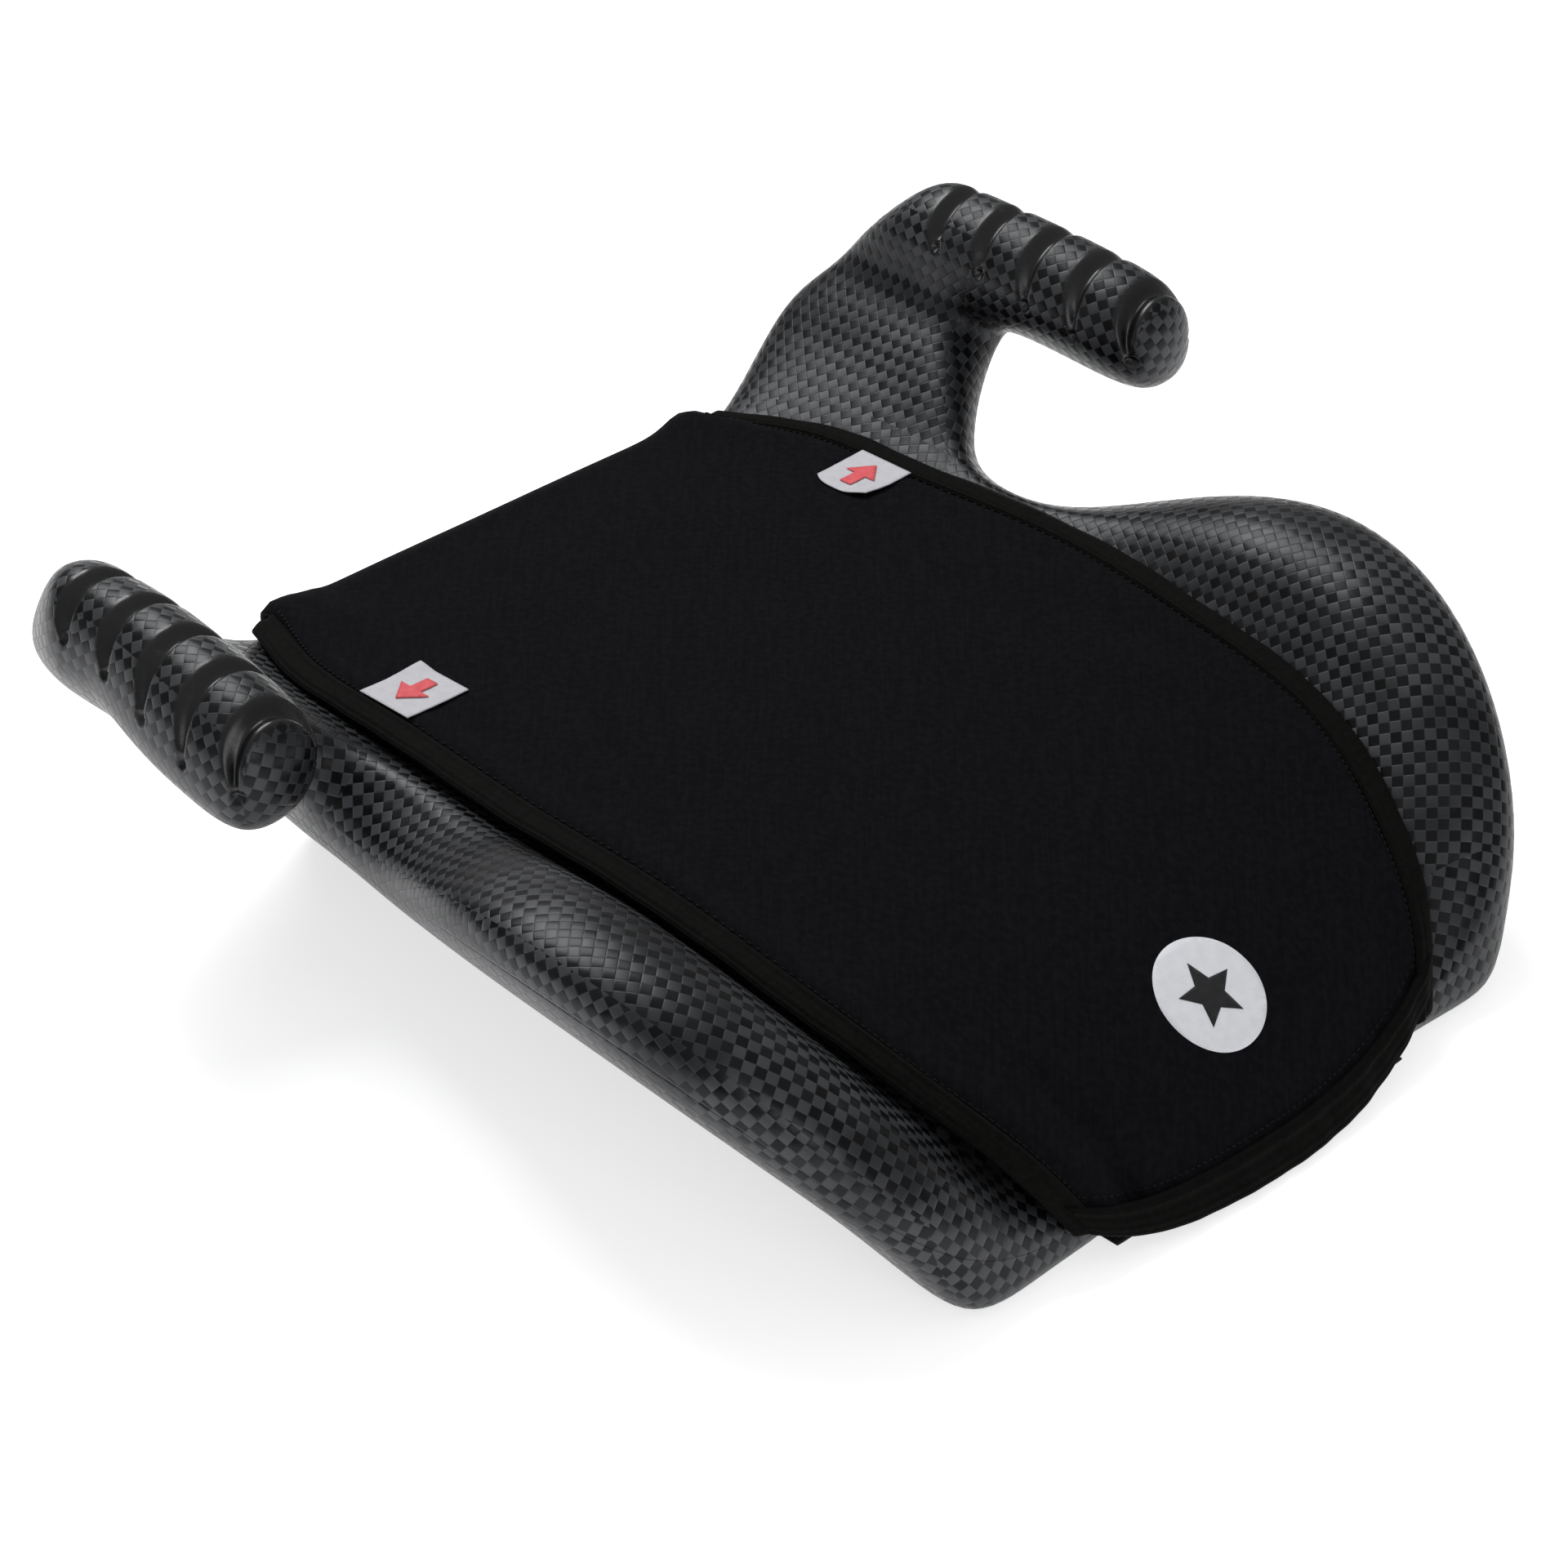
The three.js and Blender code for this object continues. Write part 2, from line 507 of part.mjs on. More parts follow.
// ---- underside: two elastic straps from hem to hem, each with a slider, and the blank labels ----
const STRAP_Z = 1.4;
const SLIDER_LENGTH = 16;
const SLIDER_HEIGHT = 3.2;
const SLIDER_RIM = 4;
const SLIDER_Y = 70;
const APPROVAL_LABEL = [64, 46, 0.3];
const CARE_LABEL = [26, 0.5, 30];
function strapGeometry() {
  const t = STRAP_THICKNESS;
  const [front, rear, top] = [-184, 184, 42.6];
  const outline = [[front, STRAP_Z], [rear + t, STRAP_Z], [rear + t, top], [rear, top], [rear, STRAP_Z + t],
    [front, STRAP_Z + t]];
  const shape = new THREE.Shape(outline.map(([y, z]) => new THREE.Vector2(y, z)));
  const depth = STRAP_WIDTH;
  return new THREE.ExtrudeGeometry(shape, { depth, bevelEnabled: false })
    .rotateX(Math.PI / 2).rotateZ(Math.PI / 2).translate(-depth / 2, 0, 0);
}
function sliderGeometry() {
  const frame = solidOf(new THREE.BoxGeometry(STRAP_WIDTH + SLIDER_RIM, SLIDER_LENGTH, SLIDER_HEIGHT));
  const slot = solidOf(new THREE.BoxGeometry(STRAP_WIDTH + 1, SLIDER_LENGTH + SLIDER_RIM, STRAP_THICKNESS + 0.7));
  return geometryOf(frame.subtract(slot));
}
for (const [name, side] of [["left", -1], ["right", 1]]) {
  addNode(`elastic_strap_${name}`, strapGeometry(), ELASTIC).position.x = side * STRAP_X;
  addNode(`strap_slider_${name}`, sliderGeometry(), HDPE)
    .position.set(side * STRAP_X, SLIDER_Y, STRAP_Z + STRAP_THICKNESS / 2);
}
addNode("approval_label", new THREE.BoxGeometry(...APPROVAL_LABEL), WHITE).position.set(0, -60, POCKET_DEPTH - 0.5);
addNode("care_label", new THREE.BoxGeometry(...CARE_LABEL), WHITE).position.set(12, 186.6, 27.5);

export default part;
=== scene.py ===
import math

import bmesh
import bpy
from mathutils import Matrix, Vector
from mathutils.bvhtree import BVHTree
from mathutils.kdtree import KDTree


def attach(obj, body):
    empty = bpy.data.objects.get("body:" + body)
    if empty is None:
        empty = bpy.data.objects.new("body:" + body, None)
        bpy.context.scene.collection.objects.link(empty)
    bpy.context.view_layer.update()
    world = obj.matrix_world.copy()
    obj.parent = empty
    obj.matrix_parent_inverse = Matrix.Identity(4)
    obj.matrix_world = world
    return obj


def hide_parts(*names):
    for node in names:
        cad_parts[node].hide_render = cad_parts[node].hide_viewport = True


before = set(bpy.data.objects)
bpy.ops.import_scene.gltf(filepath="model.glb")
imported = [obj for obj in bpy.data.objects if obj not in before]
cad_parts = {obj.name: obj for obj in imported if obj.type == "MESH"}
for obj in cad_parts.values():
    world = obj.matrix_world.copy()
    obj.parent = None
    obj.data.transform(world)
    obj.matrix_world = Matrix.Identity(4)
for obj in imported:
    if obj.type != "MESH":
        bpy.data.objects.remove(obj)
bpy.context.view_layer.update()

MM = 0.001


# ---- seat shell ----
# One hollow blow-moulded polyethylene body: seat, rounded lower rails, side wings, and on each side a
# flange that carries a horn reaching forward, under which the lap belt runs. The mould leaves a woven
# checker over the whole skin, and five smooth finger grooves across each horn.

# The control cage in millimetres. Each line runs round the right half at the same sixteen stations: rear
# centre, two along the rear, rear corner, three along the arm's foot, belt valley, wing rise, two on the
# wing, wing nose, front corner, two along the front, front centre.
CAGE_LINES = [
    # inner edge of the floor rim
    [(0, 168, 0), (36, 168, 0), (72, 167, 0), (96, 162, 0), (99, 140, 0), (102, 114, 0), (104.5, 84, 0),
     (107.5, 50, 0), (110, 10, 0), (111.5, -38, 0), (113.5, -88, 0), (117, -138, 0), (125, -176, 0),
     (95, -174.5, 0), (47, -173, 0), (0, -172, 0)],
    # floor rim
    [(0, 172, 2), (38, 172, 2), (76, 171, 2), (104, 168, 2), (103.5, 142, 2), (106.5, 114, 2),
     (109, 84, 2), (112, 50, 2), (114.5, 10, 2), (116, -38, 2), (118, -88, 2), (122, -138, 2),
     (131, -182, 2), (98, -178.5, 2), (49, -177, 2), (0, -176, 2)],
    # foot, drawn in under the flare
    [(0, 175, 16), (40, 175, 16), (80, 174, 16), (110, 174, 18), (120, 146, 28), (127, 116, 32),
     (131, 84, 32), (135, 50, 32), (141, 10, 34), (150, -38, 42), (150, -88, 40), (146, -139, 32),
     (134, -182, 12), (99, -180.5, 7.5), (49, -179.5, 7.5), (0, -178.5, 7.5)],
    # lower edge of the flare
    [(0, 177, 30), (41, 177, 30), (82, 177, 30), (115, 181, 38), (137, 152, 46), (147, 118, 50),
     (153, 84, 56), (159, 50, 57), (176, 10, 74), (191, -38, 88), (190, -88, 83), (171, -139, 58),
     (136, -178, 24), (100, -179, 10.5), (50, -179.5, 10.5), (0, -179.5, 10.5)],
    # shoulder, the widest line
    [(0, 179, 45), (42, 179, 45), (84, 180, 45), (121, 187, 57), (140, 156, 66), (149, 118, 68),
     (155, 84, 70), (160, 50, 69), (176, 11, 91), (191, -37, 109), (189, -88, 107), (169, -139, 84),
     (139, -176, 36), (100, -178, 13), (50, -179, 13), (0, -179, 13.5)],
    # crest of the wing, or the rounded top edge
    [(0, 179, 60), (43, 179, 60), (86, 180, 61), (122, 187, 72), (139, 158, 84), (143, 118, 86),
     (143, 84, 83), (141, 50, 80), (149, 11, 93), (155, -37, 110), (155, -87, 107), (145, -133, 84),
     (132, -172, 46), (98, -176, 16), (50, -177, 15.5), (0, -178, 16)],
    # inner face of the wing
    [(0, 176, 69), (43, 176, 69), (86, 176, 71), (114, 177, 80), (130, 150, 90), (135, 117, 91),
     (136, 84, 88), (136, 50, 86), (139, 11, 90), (141, -36, 97), (140, -86, 92), (131, -131, 73),
     (119, -167, 44), (95, -170, 19), (50, -173, 19), (0, -174, 20)],
    # edge under the cover's binding
    [(0, 170, 73), (42, 170, 73), (84, 169, 75), (105, 165, 78), (119, 146, 82), (125, 116, 85),
     (128, 84, 85), (130, 50, 84), (132, 10, 84.5), (129.5, -35, 82), (126.5, -85, 74), (117, -128, 58),
     (100, -155, 33), (86, -161, 21), (46, -166, 22), (0, -167, 23)],
]
REAR_CORNER = 3
FRONT_CORNER = 12
ARM_STATIONS = [3, 4, 5, 6]
ARM_LINES = [4, 5, 6]
TRAY_STEP = 12
FLOOR_BAND = 9
SEAT_RECESS = 13

# Levels of the flange and the rear half of the horn: outer, middle and inner (x, z), y at the four arm
# stations, and how far the outer side stops short of the rear.
ARM_LEVELS = [
    ([(160, 81), (155, 91), (148, 101)], [192, 155, 124, 97], 4),
    ([(183, 93), (175, 103), (160, 112)], [191, 154, 132, 112], 14),
    ([(207, 114), (194, 107), (174, 121)], [185, 151, 134, 120], 34),
    ([(215, 132), (195, 132), (174, 136)], [172, 146, 131, 118], 27),
    ([(209, 150.5), (196, 157.5), (179, 149.5)], [151, 139, 128, 117], 3),
]
HORN_SECTION = [
    [(19, -19), (0, -22.5), (-14, -14)],
    [(23.5, 0), (0, 0), (-22.5, 0)],
    [(15.5, 18.5), (0, 25.5), (-16.5, 16.5)],
]
HORN_STATIONS = [(92, 130.5, 1), (70, 128, 1), (53, 126, 0.97), (43, 124.5, 0.78)]
HORN_CENTRE_X = 196
HORN_TIP_Y = 36
HORN_SPLAY = 0.07
UNDERSIDE, TRAY, BACK, RAIL, WING, NOSE = range(6)
ARM_OUTER, ARM_INNER, ARM_FOOT, HORN_UPPER, HORN_LOWER, HORN_CAP = range(6, 12)

# The cover's top surface as lines from the rear to the front hem: its middle and its edge.
COVER_MIDDLE = [(0, 175, 84.5), (0, 134, 85.5), (0, 85, 86), (0, 20, 86), (0, -38, 83.5), (0, -98, 72.5),
                (0, -136, 57), (0, -172, 33), (0, -196, 1.5)]
COVER_EDGE = [(110, 174, 84), (124, 134, 88.6), (127, 85, 90), (131, 20, 90.6), (128.5, -38, 87.3),
              (125, -98, 77), (115, -136, 61), (99, -168, 38), (81, -186.5, 7)]


def curve_point(keys, t):
    """A point of the centripetal curve through the keys, with t from 0 to 1."""
    keys = [Vector(k) for k in keys]
    place = min(max(t, 0), 1) * (len(keys) - 1)
    i = min(int(place), len(keys) - 2)
    p1, p2 = keys[i], keys[i + 1]
    p0 = keys[i - 1] if i > 0 else 2 * p1 - p2
    p3 = keys[i + 2] if i + 2 < len(keys) else 2 * p2 - p1
    d01, d12, d23 = ((b - a).length ** 0.5 for a, b in ((p0, p1), (p1, p2), (p2, p3)))
    m1 = ((p1 - p0) / d01 - (p2 - p0) / (d01 + d12) + (p2 - p1) / d12) * d12
    m2 = ((p2 - p1) / d12 - (p3 - p1) / (d12 + d23) + (p3 - p2) / d23) * d12
    s = place - i
    return ((2 * s**3 - 3 * s**2 + 1) * p1 + (s**3 - 2 * s**2 + s) * m1
            + (3 * s**2 - 2 * s**3) * p2 + (s**3 - s**2) * m2)


def cover_point(along, across, inset=0):
    """The cover's top surface, along from rear (0) to hem (1), across from -1 to 1, in millimetres."""
    middle = curve_point(COVER_MIDDLE, along)
    edge = curve_point(COVER_EDGE, along)
    reach = (edge.x - inset) * across
    share = (reach / edge.x) ** 2
    return Vector((reach, middle.y + (edge.y - middle.y) * share, middle.z + (edge.z - middle.z) * share))


def along_at(keys, y, halvings):
    """How far along a line from the rear it comes to y, found by halving."""
    low, high = 0, 1
    for _ in range(halvings):
        middle = (low + high) / 2
        if curve_point(keys, middle).y > y:
            low = middle
        else:
            high = middle
    return low


def seat_height(x, y):
    along = along_at(COVER_MIDDLE, y, 20)
    return cover_point(along, x / curve_point(COVER_EDGE, along).x).z - SEAT_RECESS


def step_in(line, step, height):
    moved = []
    for station, (x, y, _) in enumerate(line):
        in_x = x - (step if REAR_CORNER <= station <= FRONT_CORNER else 0)
        in_y = y - (step if station <= REAR_CORNER else 0) + (step if station >= FRONT_CORNER else 0)
        moved.append((in_x, in_y, height(in_x, in_y)))
    return moved


def shell_cage():
    """The right half of the cage as a bmesh, mirrored to the left."""
    bm = bmesh.new()
    tier = bm.verts.layers.float.new("tier")
    made = {}

    def vert(point):
        key = tuple(round(c, 3) for c in point)
        if key not in made:
            made[key] = bm.verts.new(Vector(point) * MM)
            made[key][tier] = len(CAGE_LINES) if point[2] > 0 else 0
        return made[key]

    def quad(zone, *corners):
        bm.faces.new([vert(c) for c in corners]).material_index = zone

    lines = [step_in(CAGE_LINES[0], FLOOR_BAND, lambda x, y: 0), *CAGE_LINES,
             step_in(CAGE_LINES[-1], TRAY_STEP, seat_height)]
    last = len(CAGE_LINES[0]) - 1
    for line, stations in enumerate(lines):
        for point in stations:
            vert(point)[tier] = line
    for line, (lower, upper) in enumerate(zip(lines, lines[1:])):
        for s in range(last):
            on_arm = s in ARM_STATIONS[:-1]
            if on_arm and line - 1 in ARM_LINES[:-1]:
                continue
            if line == 0:
                zone = UNDERSIDE
            elif line == len(lines) - 2:
                zone = TRAY
            elif s < REAR_CORNER:
                zone = BACK
            elif s >= FRONT_CORNER:
                zone = NOSE
            elif line - 1 < ARM_LINES[0]:
                zone = RAIL
            else:
                zone = ARM_FOOT if on_arm else WING
            quad(zone, lower[s], upper[s], upper[s + 1], lower[s + 1])

    def grid(ring, height):
        def at(i, j):
            if j == REAR_CORNER:
                return ring[REAR_CORNER + i]
            if i == 0:
                return ring[j]
            if i == FRONT_CORNER - REAR_CORNER:
                return ring[last - j]
            x, y, _ = ring[REAR_CORNER + i]
            inner = x * j / REAR_CORNER
            return (inner, y, height(inner, y))
        return at

    seat = grid(lines[-1], seat_height)
    floor = grid(lines[0], lambda x, y: 0)
    for i in range(FRONT_CORNER - REAR_CORNER):
        for j in range(REAR_CORNER):
            quad(TRAY, seat(i, j), seat(i + 1, j), seat(i + 1, j + 1), seat(i, j + 1))
            quad(UNDERSIDE, floor(i, j), floor(i, j + 1), floor(i + 1, j + 1), floor(i + 1, j))

    # flange and rear half of the horn
    levels = [lambda a, l: CAGE_LINES[ARM_LINES[a]][ARM_STATIONS[l]]]
    front = len(ARM_STATIONS) - 1
    for xz, ys, trim in ARM_LEVELS:
        def level(a, l, xz=xz, ys=ys, trim=trim):
            share = (ys[l] - ys[front]) / (ys[0] - ys[front])
            outer = ys[front] + share * (ys[0] - trim - ys[front])
            bulge = 5 if l == 0 else -5 if l == front else 0
            return (xz[a][0], (outer, ys[l] + bulge, ys[l])[a], xz[a][1])
        levels.append(level)
    horn_base = len(levels) - 3
    for k, (low, high) in enumerate(zip(levels, levels[1:])):
        for l in range(front):
            quad(ARM_OUTER, low(0, l), high(0, l), high(0, l + 1), low(0, l + 1))
            quad(ARM_INNER, low(2, l), low(2, l + 1), high(2, l + 1), high(2, l))
        for a in range(2):
            quad(ARM_OUTER, low(a, 0), low(a + 1, 0), high(a + 1, 0), high(a, 0))
            if k < horn_base:
                quad(ARM_OUTER, low(a, front), high(a, front), high(a + 1, front), low(a + 1, front))
    top = levels[-1]
    for l in range(front):
        for a in range(2):
            quad(HORN_UPPER, top(a, l), top(a + 1, l), top(a + 1, l + 1), top(a, l + 1))

    # horn forward of the flange, as three by three rings
    rings = [lambda k, a: levels[horn_base + k](a, front)]
    for y, z, size in HORN_STATIONS:
        def ring(k, a, y=y, z=z, size=size):
            dx, dz = HORN_SECTION[k][a]
            axis_x = HORN_CENTRE_X + (HORN_STATIONS[0][0] - y) * HORN_SPLAY
            return (axis_x + dx * size, y, z + dz * size)
        rings.append(ring)
    for back, fore in zip(rings, rings[1:]):
        for k in range(2):
            quad(HORN_LOWER, back(k, 0), back(k + 1, 0), fore(k + 1, 0), fore(k, 0))
            quad(HORN_UPPER, back(k, 2), fore(k, 2), fore(k + 1, 2), back(k + 1, 2))
            quad(HORN_LOWER, back(0, k), fore(0, k), fore(0, k + 1), back(0, k + 1))
            quad(HORN_UPPER, back(2, k), back(2, k + 1), fore(2, k + 1), fore(2, k))
    tip = rings[-1]

    def cap(k, a):
        return (tip(1, 1)[0], HORN_TIP_Y, tip(1, 1)[2]) if k == a == 1 else tip(k, a)
    for k in range(2):
        for a in range(2):
            quad(HORN_CAP, cap(k, a), cap(k + 1, a), cap(k + 1, a + 1), cap(k, a + 1))

    bmesh.ops.mirror(bm, geom=bm.verts[:] + bm.edges[:] + bm.faces[:], axis="X", merge_dist=0.01 * MM)
    bmesh.ops.recalc_face_normals(bm, faces=bm.faces)
    return bm


def new_object(bm, name):
    mesh = bpy.data.meshes.new(name)
    bm.to_mesh(mesh)
    bm.free()
    mesh.shade_smooth()
    piece = bpy.data.objects.new(name, mesh)
    bpy.context.scene.collection.objects.link(piece)
    return piece


def apply_modifiers(piece):
    bpy.context.view_layer.update()
    shown = piece.evaluated_get(bpy.context.evaluated_depsgraph_get())
    mesh = bpy.data.meshes.new_from_object(shown)
    piece.modifiers.clear()
    piece.data = mesh


def subdivide(piece, levels, at_limit=True):
    smooth = piece.modifiers.new("Smooth", "SUBSURF")
    smooth.levels = smooth.render_levels = levels
    smooth.use_limit_surface = at_limit
    apply_modifiers(piece)


def surface_of(piece):
    mesh = piece.data
    return BVHTree.FromPolygons([v.co for v in mesh.vertices], [p.vertices for p in mesh.polygons])


def flatten_zone(piece, zone):
    """Unwraps one zone of the right half with little stretch, in metres, with U along the seat."""
    whole = bmesh.new()
    whole.from_mesh(piece.data)
    whole.faces.ensure_lookup_table()
    wanted = [f.index for f in whole.faces if f.material_index == zone and f.calc_center_median().x > 0]
    keep = set(wanted)
    bmesh.ops.delete(whole, geom=[f for f in whole.faces if f.index not in keep], context="FACES")
    patch_piece = new_object(whole, "zone_patch")
    patch_mesh = patch_piece.data
    for part in (patch_mesh.vertices, patch_mesh.edges, patch_mesh.polygons):
        part.foreach_set("select", [True] * len(part))
    bpy.context.view_layer.objects.active = patch_piece
    bpy.ops.object.mode_set(mode="EDIT")
    bpy.ops.uv.unwrap(method="MINIMUM_STRETCH", iterations=30, margin=0)
    bpy.ops.object.mode_set(mode="OBJECT")
    patch_mesh = patch_piece.data
    flat = [item.uv.copy() for item in patch_mesh.uv_layers.active.data]
    heights = [patch_mesh.vertices[loop.vertex_index].co.y for loop in patch_mesh.loops]
    flat_area = 0
    for p in patch_mesh.polygons:
        corners = [flat[i] for i in p.loop_indices]
        flat_area += abs(sum(a.cross(b) for a, b in zip(corners, corners[1:] + corners[:1]))) / 2
    scale = math.sqrt(sum(p.area for p in patch_mesh.polygons) / flat_area)
    centre = sum(flat, Vector((0, 0))) / len(flat)
    mean_y = sum(heights) / len(heights)
    places = [(place - centre, y - mean_y) for place, y in zip(flat, heights)]
    suu = sum(p.x * p.x for p, _ in places)
    svv = sum(p.y * p.y for p, _ in places)
    suv = sum(p.x * p.y for p, _ in places)
    suy = sum(p.x * y for p, y in places)
    svy = sum(p.y * y for p, y in places)
    slope = Vector((suy * svv - svy * suv, svy * suu - suy * suv))
    turn = Matrix.Rotation(-math.atan2(slope.y, slope.x), 2)
    uv = piece.data.uv_layers.active.data
    for index, p in zip(wanted, patch_mesh.polygons):
        for i, j in zip(piece.data.polygons[index].loop_indices, p.loop_indices):
            uv[i].uv = (turn @ (flat[j] - centre)) * scale
    bpy.data.objects.remove(patch_piece)


def mirror_map(mesh):
    """Gives the left half the right half's map."""
    tree = KDTree(len(mesh.vertices))
    for vert in mesh.vertices:
        tree.insert(vert.co, vert.index)
    tree.balance()
    twin = [tree.find((-v.co.x, v.co.y, v.co.z))[1] for v in mesh.vertices]
    uv = mesh.uv_layers.active.data
    right = {}
    for p in mesh.polygons:
        if p.center.x > 0:
            face = frozenset(p.vertices)
            right.update({(face, mesh.loops[i].vertex_index): uv[i].uv.copy() for i in p.loop_indices})
    for p in mesh.polygons:
        if p.center.x < 0:
            face = frozenset(twin[v] for v in p.vertices)
            for i in p.loop_indices:
                uv[i].uv = right[face, twin[mesh.loops[i].vertex_index]]


shell = new_object(shell_cage(), "shell_body")
guide = shell.copy()
guide.data = shell.data.copy()
bpy.context.scene.collection.objects.link(guide)
subdivide(guide, 4)
fine = surface_of(guide)
bpy.data.objects.remove(guide)

subdivide(shell, 2, at_limit=False)
flat_map = shell.data.uv_layers.new(name="skin")
for polygon in shell.data.polygons:
    for i in polygon.loop_indices:
        place = shell.data.vertices[shell.data.loops[i].vertex_index].co
        flat_map.data[i].uv = (place.y, place.x)
for zone in range(BACK, HORN_CAP + 1):
    flatten_zone(shell, zone)
mirror_map(shell.data)
subdivide(shell, 1)

GRIP_COUNT = 5
GRIP_FIRST_Y = 49
GRIP_PITCH = 21.7
GRIP_DEPTH = 3.2
GRIP_BOW = 4
GRIP_DOT = 2.3
GRIP_FRONT = (1.6, 1.2)        # half width of a groove towards the front: at its ends, and more on top
GRIP_REAR = (1.8, 4.6)
POCKET = (90, 150, 30, -6)     # half width, half length, corner radius and middle of the recess underneath
POCKET_DEPTH = 4
STRAP_X = 58
CHANNEL_HALF = 13


def smooth_step(low, high, value):
    t = min(max((value - low) / (high - low), 0), 1)
    return t * t * (3 - 2 * t)


def horn_axis(y):
    """Centre (x, z) of the horn at y, in millimetres."""
    return (HORN_CENTRE_X + max(92 - y, 0) * HORN_SPLAY, 124.5 + 6.5 * smooth_step(40, 125, y))


def groove(place):
    """How deep the finger grooves are at a point, from 0 to 1, and how smooth the skin is there."""
    x, y, z = abs(place.x), place.y, place.z
    axis_x, axis_z = horn_axis(y)
    if x < 150 or z < axis_z - 6 or y > 150:
        return 0, 0
    rise = max((z - axis_z) / max(math.hypot(x - axis_x, z - axis_z), 1), 0)
    offset = y + GRIP_BOW * (1 - rise) - GRIP_FIRST_Y
    index = math.floor(offset / GRIP_PITCH + 0.4)
    if not 0 <= index < GRIP_COUNT:
        return 0, 0
    off = offset - index * GRIP_PITCH
    least, more = GRIP_FRONT if off < 0 else GRIP_REAR
    width = least + more * smooth_step(0.15, 0.9, rise)
    end_z = axis_z + 10 * index / (GRIP_COUNT - 1)
    run = smooth_step(end_z - 1.5, end_z + 5, z)
    channel = smooth_step(1, 0, abs(off) / width) * run
    dot = max(1 - (math.hypot(off, z - end_z) / GRIP_DOT) ** 2, 0) * 0.8
    smooth = smooth_step(1.25, 0.95, abs(off) / width) * smooth_step(end_z - 3, end_z, z)
    return max(channel * (0.55 + 0.45 * smooth_step(0, 0.6, rise)), dot), smooth


def under_recess(x, y):
    """1 inside the recess and the strap channels underneath, 0 on the band that the seat stands on."""
    half_x, half_y, radius, middle = POCKET
    dx = max(abs(x) - half_x + radius, 0)
    dy = max(abs(y - middle) - half_y + radius, 0)
    pocket = 1 - smooth_step(radius - 2, radius + 3, math.hypot(dx, dy))
    channel = 1 - smooth_step(CHANNEL_HALF - 1, CHANNEL_HALF + 3, abs(abs(x) - STRAP_X))
    return max(pocket, channel)


bm = bmesh.new()
bm.from_mesh(shell.data)


def near_horn(vert):
    return abs(vert.co.x) > 0.165 and vert.co.z > 0.1 and 0.03 < vert.co.y < 0.16


def near_groove(vert):
    off = (vert.co.y / MM + GRIP_BOW / 2 - GRIP_FIRST_Y + GRIP_PITCH / 2) % GRIP_PITCH - GRIP_PITCH / 2
    return near_horn(vert) and -6 < off < 9 and vert.co.z > 0.112


horn_edges = [e for e in bm.edges if all(near_horn(v) for v in e.verts)]
bmesh.ops.subdivide_edges(bm, edges=horn_edges, cuts=1, use_grid_fill=True)
lengthwise = [e for e in bm.edges if all(near_groove(v) for v in e.verts)
              and abs(e.verts[0].co.y - e.verts[1].co.y) > 0.8 * e.calc_length()]
bmesh.ops.subdivide_edges(bm, edges=lengthwise, cuts=1, use_grid_fill=True)
for vert in bm.verts:
    if near_horn(vert):
        vert.co = fine.find_nearest(vert.co)[0]
bm.normal_update()
smooth_skin = bm.verts.layers.float.new("smooth_skin")
moves = {}
for vert in bm.verts:
    if near_horn(vert):
        depth, smooth = groove(vert.co / MM)
        vert[smooth_skin] = smooth
        moves[vert] = -vert.normal * depth * GRIP_DEPTH * MM
    elif vert.co.z < POCKET_DEPTH * MM:
        lift = under_recess(vert.co.x / MM, vert.co.y / MM) * POCKET_DEPTH * MM
        moves[vert] = Vector((0, 0, max(lift - vert.co.z, 0)))
for vert, move in moves.items():
    vert.co += move
for face in bm.faces:
    face.material_index = 0
bm.to_mesh(shell.data)
bm.free()
shell.data.shade_smooth()


class Value:
    """A shader socket that Python arithmetic turns into Math nodes."""

    def __init__(self, finish, socket):
        self.finish = finish
        self.socket = socket

    def math(self, operation, *others):
        return self.finish.add("ShaderNodeMath", {"operation": operation}, dict(enumerate([self, *others])))

    def __add__(self, other):
        return self.math("ADD", other)

    def __radd__(self, other):
        return self.math("ADD", other)

    def __sub__(self, other):
        return self.math("SUBTRACT", other)

    def __rsub__(self, other):
        return self.finish.add("ShaderNodeMath", {"operation": "SUBTRACT"}, {0: other, 1: self})

    def __mul__(self, other):
        return self.math("MULTIPLY", other)

    def __pow__(self, other):
        return self.math("POWER", other)


